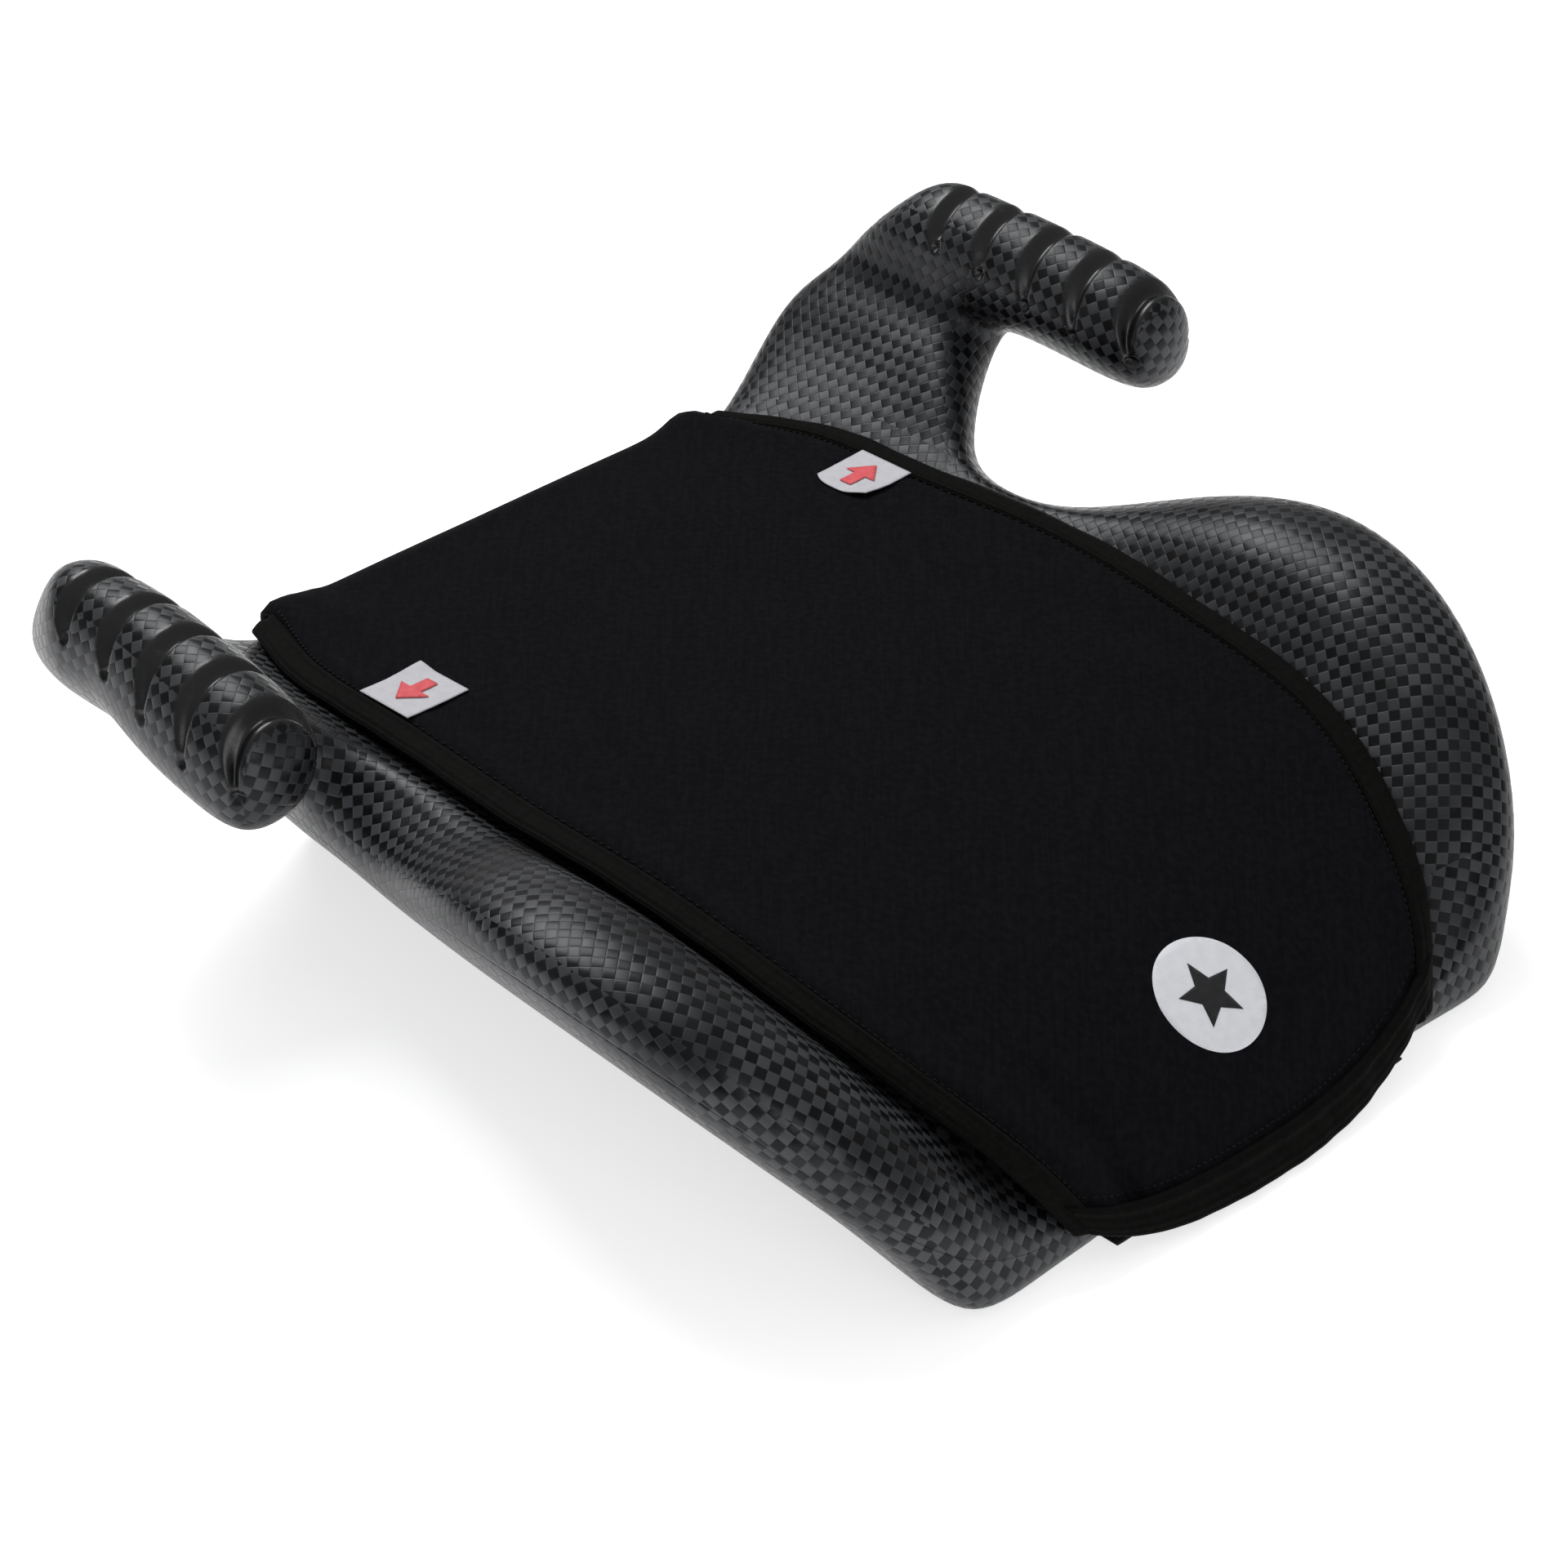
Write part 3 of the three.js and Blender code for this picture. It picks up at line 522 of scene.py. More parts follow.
class Finish:
    """A material on the standard shader."""

    def __init__(self, name, **fixed):
        self.material = bpy.data.materials.new(name)
        self.material.use_nodes = True
        self.tree = self.material.node_tree
        self.shader = self.tree.nodes["Principled BSDF"]
        for socket, value in fixed.items():
            self.shader.inputs[socket.replace("_", " ")].default_value = value

    def add(self, kind, settings=None, values=None, output=0):
        node = self.tree.nodes.new(kind)
        for name, setting in (settings or {}).items():
            setattr(node, name, setting)
        for name, value in (values or {}).items():
            if isinstance(value, Value):
                self.tree.links.new(value.socket, node.inputs[name])
            else:
                node.inputs[name].default_value = value
        return Value(self, node.outputs[output])

    def mix(self, share, first, second):
        return self.add("ShaderNodeMix", {"data_type": "RGBA"}, {0: share, 6: first, 7: second}, 2)

    def step(self, value, low, high):
        return self.add("ShaderNodeMapRange", {"interpolation_type": "SMOOTHSTEP"},
                        {0: value, 1: low, 2: high, 3: 0.0, 4: 1.0})

    def noise(self, place, scale, detail=2.0):
        return self.add("ShaderNodeTexNoise", {}, {"Vector": place, "Scale": scale, "Detail": detail})

    def split(self, place):
        first = self.add("ShaderNodeSeparateXYZ", {}, {0: place})
        return [Value(self, first.socket.node.outputs[i]) for i in range(3)]

    def place(self):
        return self.add("ShaderNodeTexCoord", output=3)

    def feed(self, **sockets):
        for name, value in sockets.items():
            self.tree.links.new(value.socket, self.shader.inputs[name.replace("_", " ")])
        return self.material

    def bump(self, height, strength=1.0):
        return self.add("ShaderNodeBump", {}, {"Height": height, "Distance": 1.0, "Strength": strength})


SQUARE = 3.8 * MM               # side of a checker square, set at 45 degrees to the seat's length
CHECKER_CROWN = 0.09 * MM
OUTLINE_DEPTH = 0.04 * MM
GRAIN_HEIGHT = 0.008 * MM
PARTING_TIER = 4.35             # the mould's parting line, just under the widest line
PARTING_DEPTH = 0.4 * MM


def shell_plastic():
    finish = Finish("black_checker_plastic", Specular_IOR_Level=0.5)
    flat = finish.add("ShaderNodeUVMap", {"uv_map": "skin"})
    turned = finish.add("ShaderNodeMapping", {}, {
        "Vector": flat, "Rotation": (0, 0, math.pi / 4), "Scale": (1 / SQUARE, 1 / SQUARE, 1)})
    u, v, _ = finish.split(turned)
    column, row = u.math("FLOOR"), v.math("FLOOR")
    weft = (column + row).math("FLOORED_MODULO", 2.0)
    in_u, in_v = u.math("FRACT"), v.math("FRACT")
    from_side = in_u.math("MINIMUM", 1 - in_u).math("MINIMUM", in_v.math("MINIMUM", 1 - in_v))
    line = 1 - finish.step(from_side, 0.0, 0.10)
    cell = finish.add("ShaderNodeCombineXYZ", {}, {0: column, 1: row})
    chance = finish.add("ShaderNodeTexWhiteNoise", {"noise_dimensions": "2D"}, {"Vector": cell})
    place = finish.place()
    patches = finish.step(finish.noise(place, 16.0, 3.0), 0.36, 0.56)
    grain = finish.noise(place, 900.0, 3.0)
    scuff = finish.step(finish.noise(place, 130.0, 6.0), 0.62, 0.75)
    plain = finish.add("ShaderNodeAttribute", {"attribute_name": "smooth_skin"}, output=2)
    skin = 1 - plain
    # one way round, crowned across U, the other across V
    crown_u = 1 - (in_u * 2.0 - 1.0) ** 2.0
    crown_v = 1 - (in_v * 2.0 - 1.0) ** 2.0
    crown = crown_u * weft + crown_v * (1 - weft)
    tier = finish.add("ShaderNodeAttribute", {"attribute_name": "tier"}, output=2)
    parting = 1 - finish.step((tier - PARTING_TIER).math("ABSOLUTE"), 0.01, 0.035)
    height = ((crown * CHECKER_CROWN - line * OUTLINE_DEPTH) * skin + grain * GRAIN_HEIGHT
              - parting * PARTING_DEPTH)
    tone = (weft * (0.25 + patches * 0.55) + chance * 0.2) * skin
    base = finish.mix(tone, (0.0055, 0.0058, 0.0066, 1), (0.040, 0.042, 0.047, 1))
    base = finish.mix(line * skin * 0.4, base, (0.036, 0.038, 0.043, 1))
    base = finish.mix(scuff * 0.2, base, (0.05, 0.05, 0.052, 1))
    rough = 0.29 + weft * 0.13 * skin + chance * 0.06 + scuff * 0.1 + line * 0.06 - plain * 0.07
    dull = (1 - tone) * 0.7 * skin
    return finish.feed(Base_Color=base, Roughness=rough, Metallic=dull, Normal=finish.bump(height))


plastic = shell_plastic()
shell.data.materials.clear()
shell.data.materials.append(plastic)
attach(shell, "root")
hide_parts("seat_shell")


# ---- foam pad and lining ----
# A sheet of open-cell foam that makes the seat soft, laid on the lining fabric and sewn up inside the
# cover. Neither shows once the cover is on.
PANEL_THICKNESS = 2
FOAM_THICKNESS = 7


def cover_normal(along, across, inset=0):
    step = 0.01
    ahead = cover_point(min(along + step, 1), across, inset)
    behind = cover_point(max(along - step, 0), across, inset)
    sideways = cover_point(along, across + step, inset) - cover_point(along, across - step, inset)
    return (ahead - behind).cross(sideways).normalized()


def patch(rows, columns, place, mapped=False):
    """A grid whose vertices stand at place(u, v), both from 0 to 1, in millimetres, with a map if asked."""
    bm = bmesh.new()
    bmesh.ops.create_grid(bm, x_segments=rows, y_segments=columns, size=0.5)
    if mapped:
        tape = bm.loops.layers.uv.new("tape")
        for face in bm.faces:
            for loop in face.loops:
                loop[tape].uv = (loop.vert.co.x + 0.5, loop.vert.co.y + 0.5)
    for vert in bm.verts:
        vert.co = place(vert.co.x + 0.5, vert.co.y + 0.5) * MM
    return bm


def tube(rows, columns, place, mapped=False):
    """A patch rolled up across v into a closed body."""
    bm = patch(rows, columns, place, mapped)
    bmesh.ops.remove_doubles(bm, verts=bm.verts, dist=0.02 * MM)
    bmesh.ops.holes_fill(bm, edges=[e for e in bm.edges if e.is_boundary], sides=0)
    bmesh.ops.recalc_face_normals(bm, faces=bm.faces)
    return bm


def finished(piece, material, replaces=()):
    piece.data.materials.clear()
    piece.data.materials.append(material)
    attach(piece, "root")
    if replaces:
        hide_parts(*replaces)
    return piece


def blunt(value, power):
    """A cosine or sine pushed towards 1 and -1, which squares off a round section."""
    return math.copysign(abs(value) ** power, value)


def foam_place(u, v):
    """A slab under the cover, thinning to its edges: v runs round its section."""
    turn = 2 * math.pi * v
    across = blunt(math.cos(turn), 0.35)
    bulge = blunt(math.sin(turn), 0.45)
    ends = smooth_step(0, 0.04, u) * smooth_step(1, 0.96, u)
    along = 0.06 + 0.80 * u
    depth = PANEL_THICKNESS + 0.6 + FOAM_THICKNESS * 0.5 * (1 - bulge * (0.35 + 0.6 * ends))
    return cover_point(along, across, 23) - cover_normal(along, across, 23) * depth


def foam_finish():
    finish = Finish("open_cell_foam", Roughness=1.0, Specular_IOR_Level=0.2)
    place = finish.place()
    cells = finish.add("ShaderNodeTexVoronoi", {}, {"Vector": place, "Scale": 700.0})
    shade = finish.step(finish.noise(place, 40.0), 0.3, 0.7)
    base = finish.mix(shade, (0.56, 0.53, 0.44, 1), (0.64, 0.61, 0.52, 1))
    return finish.feed(Base_Color=base, Normal=finish.bump(cells * (0.3 * MM)))


foam = finished(new_object(tube(44, 48, foam_place), "foam_sheet"), foam_finish(), ["foam_pad"])


def lining_place(u, v):
    along = 0.08 + 0.72 * u
    return cover_point(along, 2 * v - 1, 26) - cover_normal(along, 2 * v - 1, 26) * (
        PANEL_THICKNESS + FOAM_THICKNESS + 1.3)


def thicken(piece, thickness):
    """Gives a sheet its thickness, downwards from its face."""
    wall = piece.modifiers.new("Thickness", "SOLIDIFY")
    wall.thickness = thickness * MM
    wall.offset = -1
    apply_modifiers(piece)


def face_up(piece):
    if sum(p.normal.z for p in piece.data.polygons) < 0:
        piece.data.flip_normals()


def measured(bm):
    return sum(f.calc_area() for f in bm.faces)


def cloth_finish(name, dark, light, pitch=0.9, turn=0.0, slub=0.35):
    """A fine woven cloth: crossing threads, and slubs that run along them."""
    finish = Finish(name, Roughness=0.95, Specular_IOR_Level=0.08)
    turned = finish.add("ShaderNodeMapping", {}, {"Vector": finish.place(), "Rotation": (0, 0, turn)})
    x, y, z = finish.split(turned)
    stretched = finish.add("ShaderNodeCombineXYZ", {}, {0: x * 900.0, 1: y * 45.0, 2: z * 60.0})
    threads = finish.noise(stretched, 1.0, 2.0)
    ribs = (x * (2 * math.pi / (pitch * MM))).math("SINE") * (
        (y - z) * (2 * math.pi / (pitch * MM))).math("SINE")
    shade = finish.step(threads * slub + finish.noise(turned, 420.0, 4.0) * (1 - slub), 0.35, 0.68)
    base = finish.mix(shade, (*dark, 1), (*light, 1))
    height = ribs * (0.02 * MM) + threads * (0.05 * MM)
    return finish.feed(Base_Color=base, Normal=finish.bump(height))


cover_cloth = cloth_finish("near_black_twill", (0.0030, 0.0030, 0.0040), (0.0062, 0.0062, 0.0082),
                           turn=math.pi / 4)
lining_mesh = patch(30, 20, lining_place)
lining_area = measured(lining_mesh)
lining = new_object(lining_mesh, "lining_sheet")
thicken(lining, 0.6)
finished(lining, cover_cloth, ["cover_lining"])


# ---- seat panel ----
# The top of the cover: near-black twill laminated to a thin layer of foam, stretched over the pad. It is
# one cloth from the front hem to the rear edge, where it rolls over and hangs down the back as a flap.
FLAP_LINE = [(0, 175, 84.5), (0, 180.9, 81.5), (0, 183.5, 76), (0, 185, 67), (0, 185.4, 52)]
FLAP_SHARE = 0.07
PANEL_INSET = 9.5


def hem_end(across):
    """How far along the cover's hem lies: its corners are cut back in a curve."""
    if across > 0:
        return 1 - 0.016 * across**2 - 0.030 * across**4
    return 1 + 0.004 * across**2 - 0.030 * across**6


def panel_place(u, v):
    """The whole cloth: u from the rear flap's hem to the front hem, v across."""
    across = 2 * v - 1
    if u >= FLAP_SHARE:
        along = (u - FLAP_SHARE) / (1 - FLAP_SHARE) * (hem_end(across) - 0.025)
        return cover_point(along, across, PANEL_INSET)
    down = 1 - u / FLAP_SHARE
    line = curve_point(FLAP_LINE, down)
    half = 110 - PANEL_INSET - 6 * smooth_step(0, 1, down)
    return Vector((half * across, line.y, line.z))


PANEL_ROWS, PANEL_COLUMNS = 110, 56
panel_mesh = patch(PANEL_ROWS, PANEL_COLUMNS, panel_place)
panel_area = measured(panel_mesh)
panel = new_object(panel_mesh, "seat_panel_cloth")
face_up(panel)


def settle(piece, held, pressure, cap, frames):
    """Lets a sheet settle as cloth, held where held(co) is above 0, and moved no further than cap."""
    group = piece.vertex_groups.new(name="held")
    rest = [v.co.copy() for v in piece.data.vertices]
    for i, co in enumerate(rest):
        group.add([i], held(co / MM), "REPLACE")
    cloth = piece.modifiers.new("Cloth", "CLOTH")
    cloth.settings.quality = 6
    cloth.settings.mass = 0.15
    cloth.settings.tension_stiffness = cloth.settings.compression_stiffness = 20
    cloth.settings.bending_stiffness = 1.5
    cloth.settings.vertex_group_mass = group.name
    cloth.settings.use_pressure = True
    cloth.settings.uniform_pressure_force = pressure
    cloth.settings.effector_weights.gravity = 0
    cloth.point_cache.frame_start = 1
    cloth.point_cache.frame_end = frames
    for number in range(1, frames + 1):
        bpy.context.scene.frame_set(number)
    apply_modifiers(piece)
    bpy.context.scene.frame_set(1)
    for vert, start in zip(piece.data.vertices, rest):
        move = vert.co - start
        if move.length > cap * MM:
            vert.co = start + move.normalized() * cap * MM


def panel_held(co):
    """1 at the seams, the hem and over the rear edge."""
    edge = 1 - min(1, max(0, (125 - abs(co.x)) / 30))
    rear = smooth_step(160, 172, co.y)
    return min(1, max(edge**2 if co.y > -150 else 0.4, rear, smooth_step(-165, -175, co.y)))


settle(panel, panel_held, pressure=0.6, cap=1.6, frames=16)


def panel_relief(co):
    """Height that the sewing gives the cloth: pulled down beside the binding, gathers at the rear corners."""
    x, y = co.x, co.y
    seam = curve_point(COVER_EDGE, along_at(COVER_EDGE, min(max(y, -196), 175), 12)).x - PANEL_INSET
    inward = max(seam - abs(x), 0)
    roll = -1.5 * max(1 - inward / 4, 0) ** 2 + 0.9 * math.exp(-((inward - 7) / 4.5) ** 2)
    gather = 0
    for place, width in ((-97, 4.5), (-88, 4), (-80, 5), (92, 6), (101, 5)):
        gather += math.exp(-((x - place) / width) ** 2)
    gather *= 0.9 * smooth_step(120, 172, y)
    corner = 2.2 * math.exp(-(((abs(x) - 92) / 11) ** 2)) * smooth_step(135, 170, y)
    ripple = 0.18 * math.sin(x / 17 + 2.1 * math.sin(y / 61)) * math.sin(y / 29 + x / 83)
    dart = -3.0 * math.exp(-(((x + 60 + (y + 186) * 0.35) / 5) ** 2)) * smooth_step(-130, -178, y)
    pinch = -1.4 * math.exp(-(((x - 76) / 6) ** 2)) * smooth_step(-150, -182, y)
    return roll + gather + corner + ripple + dart + pinch


for vert in panel.data.vertices:
    vert.co = vert.co + vert.normal * panel_relief(vert.co / MM) * MM
panel_surface = surface_of(panel)
thicken(panel, PANEL_THICKNESS)
finished(panel, cover_cloth, ["cover_seat_panel", "cover_rear_flap"])


# ---- binding ----
# A black woven tape folded over the edge of the cover and sewn through, down both sides and round the
# front hem, with a raised roll along its inner side where the panel's edge is turned in.
BINDING_WIDTH = 11
BINDING_THICKNESS = 3.8


def tape_finish(name, dark, light):
    """Ribbed tape: fine ribs over its width, picks along its length and a fine mottle."""
    finish = Finish(name, Roughness=0.85, Specular_IOR_Level=0.08)
    place = finish.place()
    u, v, _ = finish.split(finish.add("ShaderNodeUVMap", {"uv_map": "tape"}))
    ribs = (v * (2 * math.pi * 13)).math("SINE")
    stretched = finish.add("ShaderNodeCombineXYZ", {}, {0: u * 9000.0, 1: v * 40.0})
    picks = finish.noise(stretched, 0.06, 2.0)
    shade = finish.step(finish.noise(place, 500.0, 3.0) * 0.6 + picks * 0.4, 0.3, 0.7)
    base = finish.mix(shade, (*dark, 1), (*light, 1))
    return finish.feed(Base_Color=base, Normal=finish.bump(ribs * (0.10 * MM) + picks * (0.05 * MM)))


binding_tape = tape_finish("black_tape", (0.0022, 0.0020, 0.0018), (0.0052, 0.0048, 0.0043))


def binding_section(v):
    """Offset (across, up) of the folded tape's section, from -1 to 1 across."""
    turn = 2 * math.pi * v
    across = blunt(math.cos(turn), 0.8)
    up = blunt(math.sin(turn), 0.7)
    if up > 0:
        roll = 0.42 * math.exp(-((across + 0.62) / 0.24) ** 2)
        dip = 0.22 * math.exp(-((across + 0.2) / 0.16) ** 2)
        up *= 0.72 + roll - dip
    return across, up


def side_binding(side):
    def place(u, v):
        u *= 0.972
        across, up = binding_section(v)
        inset = BINDING_WIDTH / 2 * (1 - across)
        wave = 0.25 * math.sin(u * 47) + 0.15 * math.sin(u * 111 + 1)
        normal = cover_normal(u, side, inset)
        point = cover_point(u, side, inset)
        drop = -1.2 * smooth_step(0.2, 1, across)
        return point + normal * (up * BINDING_THICKNESS / 2 - 0.6 + wave * (0.4 + 0.6 * across) + drop)
    return place


for name, side in (("left", -1), ("right", 1)):
    finished(new_object(tube(150, 28, side_binding(side), mapped=True), f"binding_{name}"), binding_tape,
             [f"cover_binding_{name}"])


def front_binding(u, v):
    along_part, up = binding_section(v)
    across = 2 * u - 1
    along = hem_end(across) + 0.021 * (along_part - 1)
    ends = smooth_step(0, 0.03, u) * smooth_step(1, 0.97, u)
    normal = cover_normal(along, across, 4)
    point = cover_point(along, across * 0.995, 4)
    wave = 0.25 * math.sin(u * 37) + 0.2 * math.sin(u * 83 + 2)
    return point + normal * (up * (0.4 + 0.6 * ends) * BINDING_THICKNESS * 0.62 + 0.6 + wave)


finished(new_object(tube(110, 28, front_binding, mapped=True), "binding_front"), binding_tape,
         ["cover_binding_front"])


# ---- stitching ----
# A row of black thread through the tape and the panel, 3.2 mm to a stitch, just inside the binding.
STITCH_PITCH = 3.2
STITCH_LENGTH = 2.3
STITCH_RADIUS = 0.42
SIDE_SEAM_LENGTH = 425
FRONT_SEAM_LENGTH = 190


def onto_panel(point, normal, lift):
    """The point of the finished panel under a point, raised by lift, in millimetres."""
    hit = panel_surface.ray_cast((point + normal * 12) * MM, -normal)
    return (hit[0] / MM if hit[0] else point) + normal * lift


def add_stitch(bm, start, end, normal):
    """One stitch, a low ellipsoid lying along the seam."""
    middle = (start + end) / 2
    forward = (end - start).normalized()
    turn = Matrix((forward, normal.cross(forward), normal)).transposed().to_4x4()
    size = Matrix.Diagonal((STITCH_LENGTH / 2, STITCH_RADIUS, STITCH_RADIUS, 1))
    bmesh.ops.create_icosphere(bm, subdivisions=1, radius=1,
                               matrix=Matrix.Scale(MM, 4) @ Matrix.Translation(middle) @ turn @ size)


def stitch_row(bm, place, length):
    """Stitches along place(t), which gives a point and its normal."""
    count = int(length / STITCH_PITCH)
    for i in range(count):
        start, normal = place(i / count)
        end, _ = place((i + STITCH_LENGTH / STITCH_PITCH) / count)
        if (end - start).length > 0.1:
            add_stitch(bm, start, end, normal)


def side_seam(side):
    def place(t):
        along = 0.005 + 0.965 * t
        normal = cover_normal(along, side, BINDING_WIDTH + 0.8)
        return onto_panel(cover_point(along, side, BINDING_WIDTH + 0.8), normal, 0.15), normal
    return place


def front_seam(t):
    across = (2 * t - 1) * 0.97
    along = hem_end(across) - 0.05
    normal = cover_normal(along, across, PANEL_INSET)
    return onto_panel(cover_point(along, across, PANEL_INSET), normal, 0.15), normal


thread_finish = Finish("black_thread", Roughness=0.7, Specular_IOR_Level=0.15)
thread_place = thread_finish.place()
twist = thread_finish.noise(thread_place, 1800.0, 2.0)
thread = thread_finish.feed(
    Base_Color=thread_finish.mix(twist, (0.002, 0.002, 0.0025, 1), (0.006, 0.006, 0.0065, 1)),
    Normal=thread_finish.bump(twist * (0.1 * MM)))
seam = bmesh.new()
for side in (-1, 1):
    stitch_row(seam, side_seam(side), SIDE_SEAM_LENGTH)
stitch_row(seam, front_seam, FRONT_SEAM_LENGTH)
finished(new_object(seam, "cover_stitching"), thread)


# ---- rear hem ----
# Elastic tape sewn to the foot of the rear flap, which gathers it in under the seat's rear edge.
HEM_HALF_LENGTH = 96
HEM_HALF_WIDTH = 5.2
HEM_HALF_THICKNESS = 1.6
HEM_CENTRE = (186.6, 48.5)


def hem_place(u, v):
    across, up = binding_section(v)
    x = HEM_HALF_LENGTH * (2 * u - 1)
    gather = 0.5 * math.sin(x / 2.6) + 0.3 * math.sin(x / 1.7 + 1)
    y = HEM_CENTRE[0] + up * HEM_HALF_THICKNESS + gather * (0.5 + 0.5 * across)
    return Vector((x, y, HEM_CENTRE[1] - HEM_HALF_WIDTH * across))


finished(new_object(tube(160, 20, hem_place, mapped=True), "rear_hem"), binding_tape,
         ["cover_rear_hem"])


# ---- belt-path labels ----
# Two white satin labels, each with a red arrow printed on it that points out to the lap belt's path. The
# outer edge is caught under the binding, and the free corners lift a little.
LABEL_HALF = (13, 12)
LABEL_X, LABEL_Y = 103, 97.5


def label_point(side, x, y, lift=0.0):
    """A point on a label from its own x (outward) and y, in millimetres."""
    # the satin is stiffer than the cover, so it bridges the small dips under it
    height = 0
    for dx in (-6, 0, 6):
        for dy in (-6, 0, 6):
            near = Vector((side * (LABEL_X + min(x + dx, 8)), LABEL_Y + y + dy, 90))
            height += onto_panel(near, Vector((0, 0, 1)), 0).z / 9
    inner = smooth_step(4, -13, x)
    free = smooth_step(-2, -12, y) * 1.5 if side > 0 else smooth_step(3, 12, y) * 1.2
    return Vector((side * (LABEL_X + x), LABEL_Y + y, height + 1 + inner * free + lift))


def label_finish(name, dark, light):
    finish = Finish(name, Roughness=0.6, Specular_IOR_Level=0.3, Sheen_Weight=0.1)
    place = finish.place()
    x, y, _ = finish.split(place)
    weave = (x * (2 * math.pi / (0.5 * MM))).math("SINE") * (y * (2 * math.pi / (0.5 * MM))).math("SINE")
    shade = finish.step(finish.noise(place, 300.0, 4.0), 0.3, 0.7)
    return finish.feed(Base_Color=finish.mix(shade, (*dark, 1), (*light, 1)),
                       Normal=finish.bump(weave * (0.012 * MM)))


white_label = label_finish("white_satin", (0.57, 0.57, 0.605), (0.62, 0.62, 0.655))
red_print = label_finish("red_print", (0.74, 0.085, 0.10), (0.82, 0.12, 0.135))
ARROW = [(-8, -2.6), (-0.5, -2.6), (-0.5, -7), (8, 0), (-0.5, 7), (-0.5, 2.6), (-8, 2.6)]


def flat_shape(outline, place, cuts):
    """A filled outline, cut fine enough to follow the surface, with each point moved to place(x, y)."""
    bm = bmesh.new()
    centre = bm.verts.new((0, 0, 0))
    rim = [bm.verts.new((x, y, 0)) for x, y in outline]
    for start, end in zip(rim, rim[1:] + rim[:1]):
        bm.faces.new((centre, start, end))
    low = [min(p[i] for p in outline) for i in range(2)]
    high = [max(p[i] for p in outline) for i in range(2)]
    for axis in range(2):
        for k in range(1, cuts):
            where = Vector((0, 0, 0))
            where[axis] = low[axis] + (high[axis] - low[axis]) * k / cuts
            normal = Vector((0, 0, 0))
            normal[axis] = 1
            bmesh.ops.bisect_plane(bm, geom=bm.verts[:] + bm.edges[:] + bm.faces[:], plane_co=where,
                                   plane_no=normal, dist=0.001)
    for vert in bm.verts:
        vert.co = place(vert.co.x, vert.co.y) * MM
    bmesh.ops.recalc_face_normals(bm, faces=bm.faces)
    if sum(f.normal.z * f.calc_area() for f in bm.faces) < 0:
        bmesh.ops.reverse_faces(bm, faces=bm.faces)
    return bm


for name, side in (("left", -1), ("right", 1)):
    half_x, half_y = LABEL_HALF

    def label_place(u, v):
        x, y = half_x * (2 * u - 1), half_y * (2 * v - 1)
        if side > 0:
            # the free side's corners are cut back in a curve
            pull = 3.4 * (abs(y) / half_y) ** 3 * smooth_step(0, -half_x, x)
            x += pull
        return label_point(side, x, y)

    label = new_object(patch(24, 24, label_place), f"belt_label_{name}_cloth")
    face_up(label)
    thicken(label, 0.35)
    finished(label, white_label, [f"belt_label_{name}"])
    arrow_mesh = flat_shape(ARROW, lambda x, y: label_point(side, x, y, 0.45), 8)
    arrow = new_object(arrow_mesh, f"belt_arrow_{name}_print")
    thicken(arrow, 0.1)
    finished(arrow, red_print, [f"belt_arrow_{name}"])


# ---- front print ----
# A round white print near the front edge, with a plain star in it, both pressed flat onto the twill.
BADGE_ALONG = 0.815
BADGE_ACROSS = 0.036
BADGE_RADIUS = 20
STAR_RADII = (12, 5.5)


def badge_point(lift):
    centre = cover_point(BADGE_ALONG, BADGE_ACROSS)
    normal = cover_normal(BADGE_ALONG, BADGE_ACROSS)
    sideways = Vector((1, 0, 0))
    upward = normal.cross(sideways)

    def place(x, y):
        return onto_panel(centre + sideways * x + upward * y, normal, lift)
    return place


def circle(radius, count):
    return [(radius * math.cos(2 * math.pi * i / count), radius * math.sin(2 * math.pi * i / count))
            for i in range(count)]


white_print = label_finish("white_print", (0.80, 0.81, 0.85), (0.85, 0.86, 0.90))
black_print = label_finish("black_print", (0.008, 0.008, 0.010), (0.014, 0.014, 0.016))
disc = new_object(flat_shape(circle(BADGE_RADIUS, 72), badge_point(0.08), 14), "front_print_disc")
thicken(disc, 0.1)
finished(disc, white_print, ["badge_print"])
star_outline = []
for i in range(10):
    angle = math.pi / 2 + i * math.pi / 5
    star_outline.append((STAR_RADII[i % 2] * math.cos(angle), STAR_RADII[i % 2] * math.sin(angle)))
star = new_object(flat_shape(star_outline, badge_point(0.2), 10), "front_print_star")
thicken(star, 0.06)
finished(star, black_print, ["badge_star"])


# ---- straps and sliders ----
# Two elastic webbing straps run under the seat from the front hem to the rear hem and pull the cover
# tight, each through a moulded slider.
STRAP_THICKNESS = 1.2
STRAP_HALF_WIDTH = 10
STRAP_LINE = [(0, -184, 2.2), (0, -150, 1.9), (0, -75, 2.1), (0, 0, 2.0), (0, 62, 2.0), (0, 78, 2.0),
              (0, 150, 2.0), (0, 178, 1.9), (0, 184.2, 4.5), (0, 184.9, 12), (0, 184.8, 28), (0, 184.7, 42)]


def webbing_finish():
    finish = Finish("black_elastic", Roughness=0.8, Specular_IOR_Level=0.25)
    u, v, _ = finish.split(finish.add("ShaderNodeUVMap", {"uv_map": "tape"}))
    ribs = (v * (2 * math.pi * 22)).math("SINE")
    picks = (u * (2 * math.pi * 260)).math("SINE")
    shade = finish.step(ribs * 0.5 + picks * 0.3, -0.5, 0.6)
    return finish.feed(Base_Color=finish.mix(shade, (0.008, 0.008, 0.009, 1), (0.024, 0.024, 0.027, 1)),
                       Normal=finish.bump(ribs * (0.07 * MM) + picks * (0.05 * MM)))


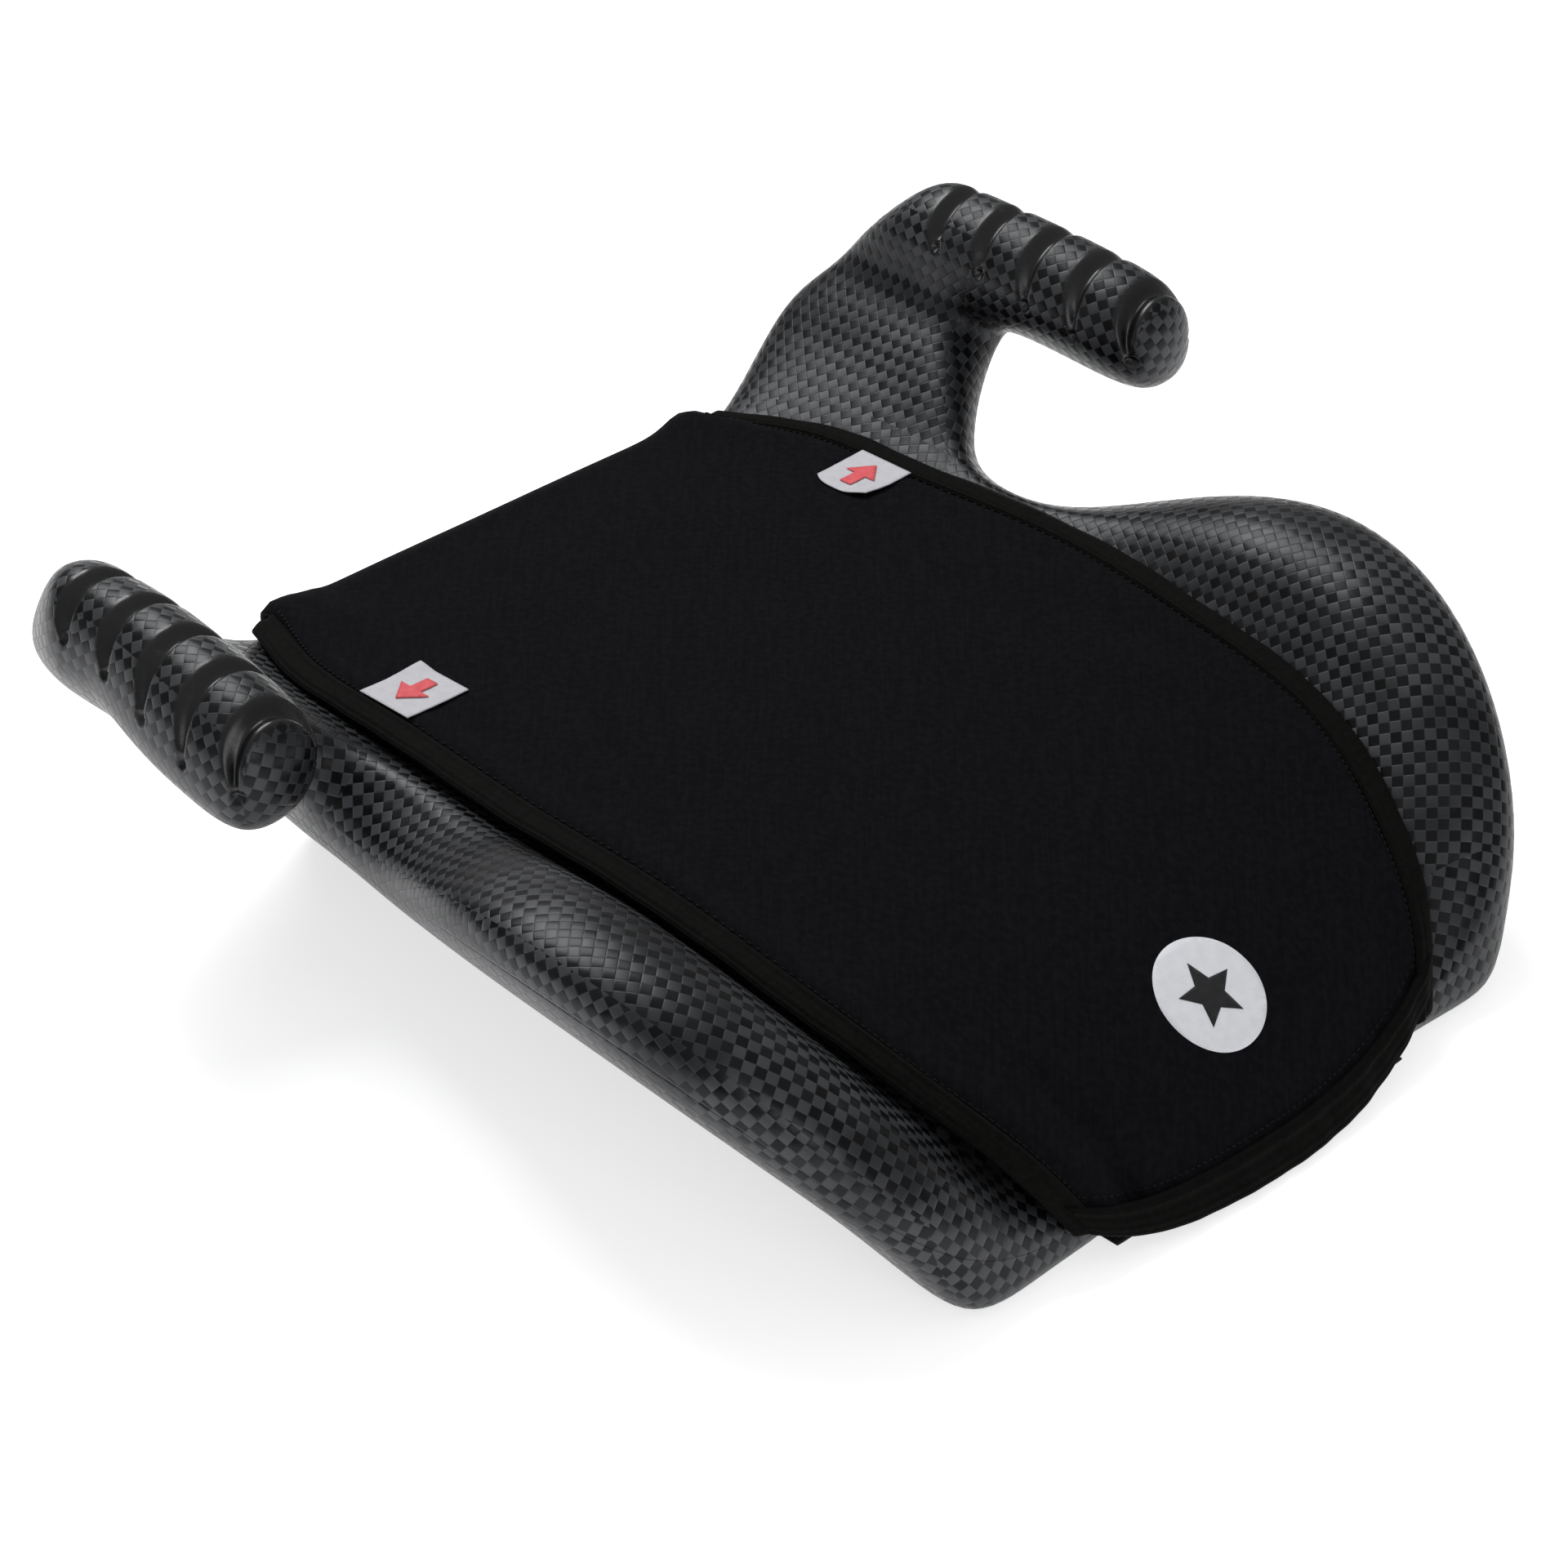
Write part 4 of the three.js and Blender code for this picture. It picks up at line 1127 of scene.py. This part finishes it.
webbing = webbing_finish()
moulded = Finish("black_slider_plastic", Specular_IOR_Level=0.5)
moulded_grain = moulded.noise(moulded.place(), 900.0, 3.0)
slider_plastic = moulded.feed(
    Base_Color=moulded.mix(moulded_grain, (0.012, 0.012, 0.013, 1), (0.022, 0.022, 0.024, 1)),
    Roughness=0.35 + moulded_grain * 0.2, Normal=moulded.bump(moulded_grain * (0.02 * MM)))
for name, side in (("left", -1), ("right", 1)):
    def strap_place(u, v):
        turn = 2 * math.pi * v
        across = blunt(math.cos(turn), 0.4) * STRAP_HALF_WIDTH
        up = blunt(math.sin(turn), 0.5) * STRAP_THICKNESS / 2
        here = curve_point(STRAP_LINE, u)
        ahead = curve_point(STRAP_LINE, min(u + 0.002, 1)) - curve_point(STRAP_LINE, max(u - 0.002, 0))
        normal = Vector((1, 0, 0)).cross(ahead).normalized()
        return here + Vector((side * STRAP_X + across, 0, 0)) + normal * up

    strap = new_object(tube(160, 24, strap_place, mapped=True), f"elastic_{name}")
    finished(strap, webbing, [f"elastic_strap_{name}"])
    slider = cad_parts[f"strap_slider_{name}"]
    slider.data.materials.clear()
    slider.data.materials.append(slider_plastic)
    soften = slider.modifiers.new("Rounded edges", "BEVEL")
    soften.width = 0.5 * MM
    soften.segments = 2


# ---- blank labels ----
# The approval label, stuck to the ceiling of the recess underneath, and the care label sewn into the rear
# hem, both left blank.
APPROVAL_SIZE = (64, 46)
APPROVAL_Y = -60
CARE_SIZE = (26, 31)
CARE_CENTRE = (12, 187.4, 27.5)


def approval_place(u, v):
    x, y = APPROVAL_SIZE[0] * (u - 0.5), APPROVAL_SIZE[1] * (v - 0.5)
    return Vector((x, APPROVAL_Y + y, POCKET_DEPTH - 0.35 + 0.1 * math.sin(x / 9) * math.sin(y / 8)))


def care_place(u, v):
    x, z = CARE_SIZE[0] * (u - 0.5), CARE_SIZE[1] * (v - 0.5)
    wave = Vector((0, 0.9 * math.sin(z / 9) + 0.4 * math.sin(x / 7), 0))
    return Vector(CARE_CENTRE) + Vector((x, 0, z)) + wave


approval = new_object(patch(32, 24, approval_place), "approval_label_sheet")
thicken(approval, 0.25)
finished(approval, white_label, ["approval_label"])
care = new_object(patch(16, 20, care_place), "care_label_sheet")
thicken(care, 0.3)
finished(care, white_label, ["care_label"])


# ---- studio ----
# A plain white floor that glows a little, a broad softbox above and behind the seat, and a weak one low
# in front.
floor_finish = Finish("studio_floor", Roughness=0.9, Specular_IOR_Level=0.1)
floor_shade = floor_finish.noise(floor_finish.place(), 0.5, 1.0)
floor_material = floor_finish.feed(
    Base_Color=floor_finish.mix(floor_shade, (0.9, 0.9, 0.9, 1), (0.91, 0.91, 0.91, 1)),
    Emission_Color=floor_finish.mix(floor_shade, (0.98, 0.98, 1, 1), (1, 1, 1, 1)))
floor_finish.shader.inputs["Emission Strength"].default_value = 0.66
ground = bmesh.new()
bmesh.ops.create_grid(ground, x_segments=1, y_segments=1, size=12)
studio_floor = new_object(ground, "studio_floor")
studio_floor.data.materials.append(floor_material)

world = bpy.data.worlds.new("studio")
world.use_nodes = True
sky = world.node_tree.nodes
direction = sky.new("ShaderNodeTexCoord")
height = sky.new("ShaderNodeSeparateXYZ")
fade = sky.new("ShaderNodeMapRange")
fade.inputs["From Min"].default_value = -0.1
fade.inputs["From Max"].default_value = 0.9
fade.inputs["To Min"].default_value = 0.16
fade.inputs["To Max"].default_value = 0.42
world.node_tree.links.new(direction.outputs["Generated"], height.inputs[0])
world.node_tree.links.new(height.outputs[2], fade.inputs["Value"])
world.node_tree.links.new(fade.outputs[0], sky["Background"].inputs["Strength"])
sky["Background"].inputs["Color"].default_value = (1, 1, 1, 1)
bpy.context.scene.world = world


def softbox(name, place, target, size, power):
    light = bpy.data.lights.new(name, "AREA")
    light.shape = "RECTANGLE"
    light.size, light.size_y = size
    light.energy = power
    lamp = bpy.data.objects.new(name, light)
    lamp.location = place
    lamp.rotation_euler = (Vector(target) - Vector(place)).to_track_quat("-Z", "Y").to_euler()
    bpy.context.scene.collection.objects.link(lamp)


softbox("overhead", (0.3, 1.1, 1.7), (0, 0, 0), (1.1, 1.1), 25)
softbox("front_fill", (-0.8, -1.9, 1.0), (0, 0, 0.05), (1.2, 0.9), 7)

CAMERA_AT = Vector((-0.89662, -0.88913, 0.87646))
CAMERA_BACK = Vector((-0.58457, -0.59964, 0.54655))
lens = bpy.data.cameras.new("camera")
lens.lens = 104.7
lens.sensor_width = 36
camera = bpy.data.objects.new("camera", lens)
camera.location = CAMERA_AT
camera.rotation_euler = CAMERA_BACK.to_track_quat("Z", "Y").to_euler()
bpy.context.scene.collection.objects.link(camera)
bpy.context.scene.camera = camera
bpy.context.scene.view_settings.view_transform = "Standard"
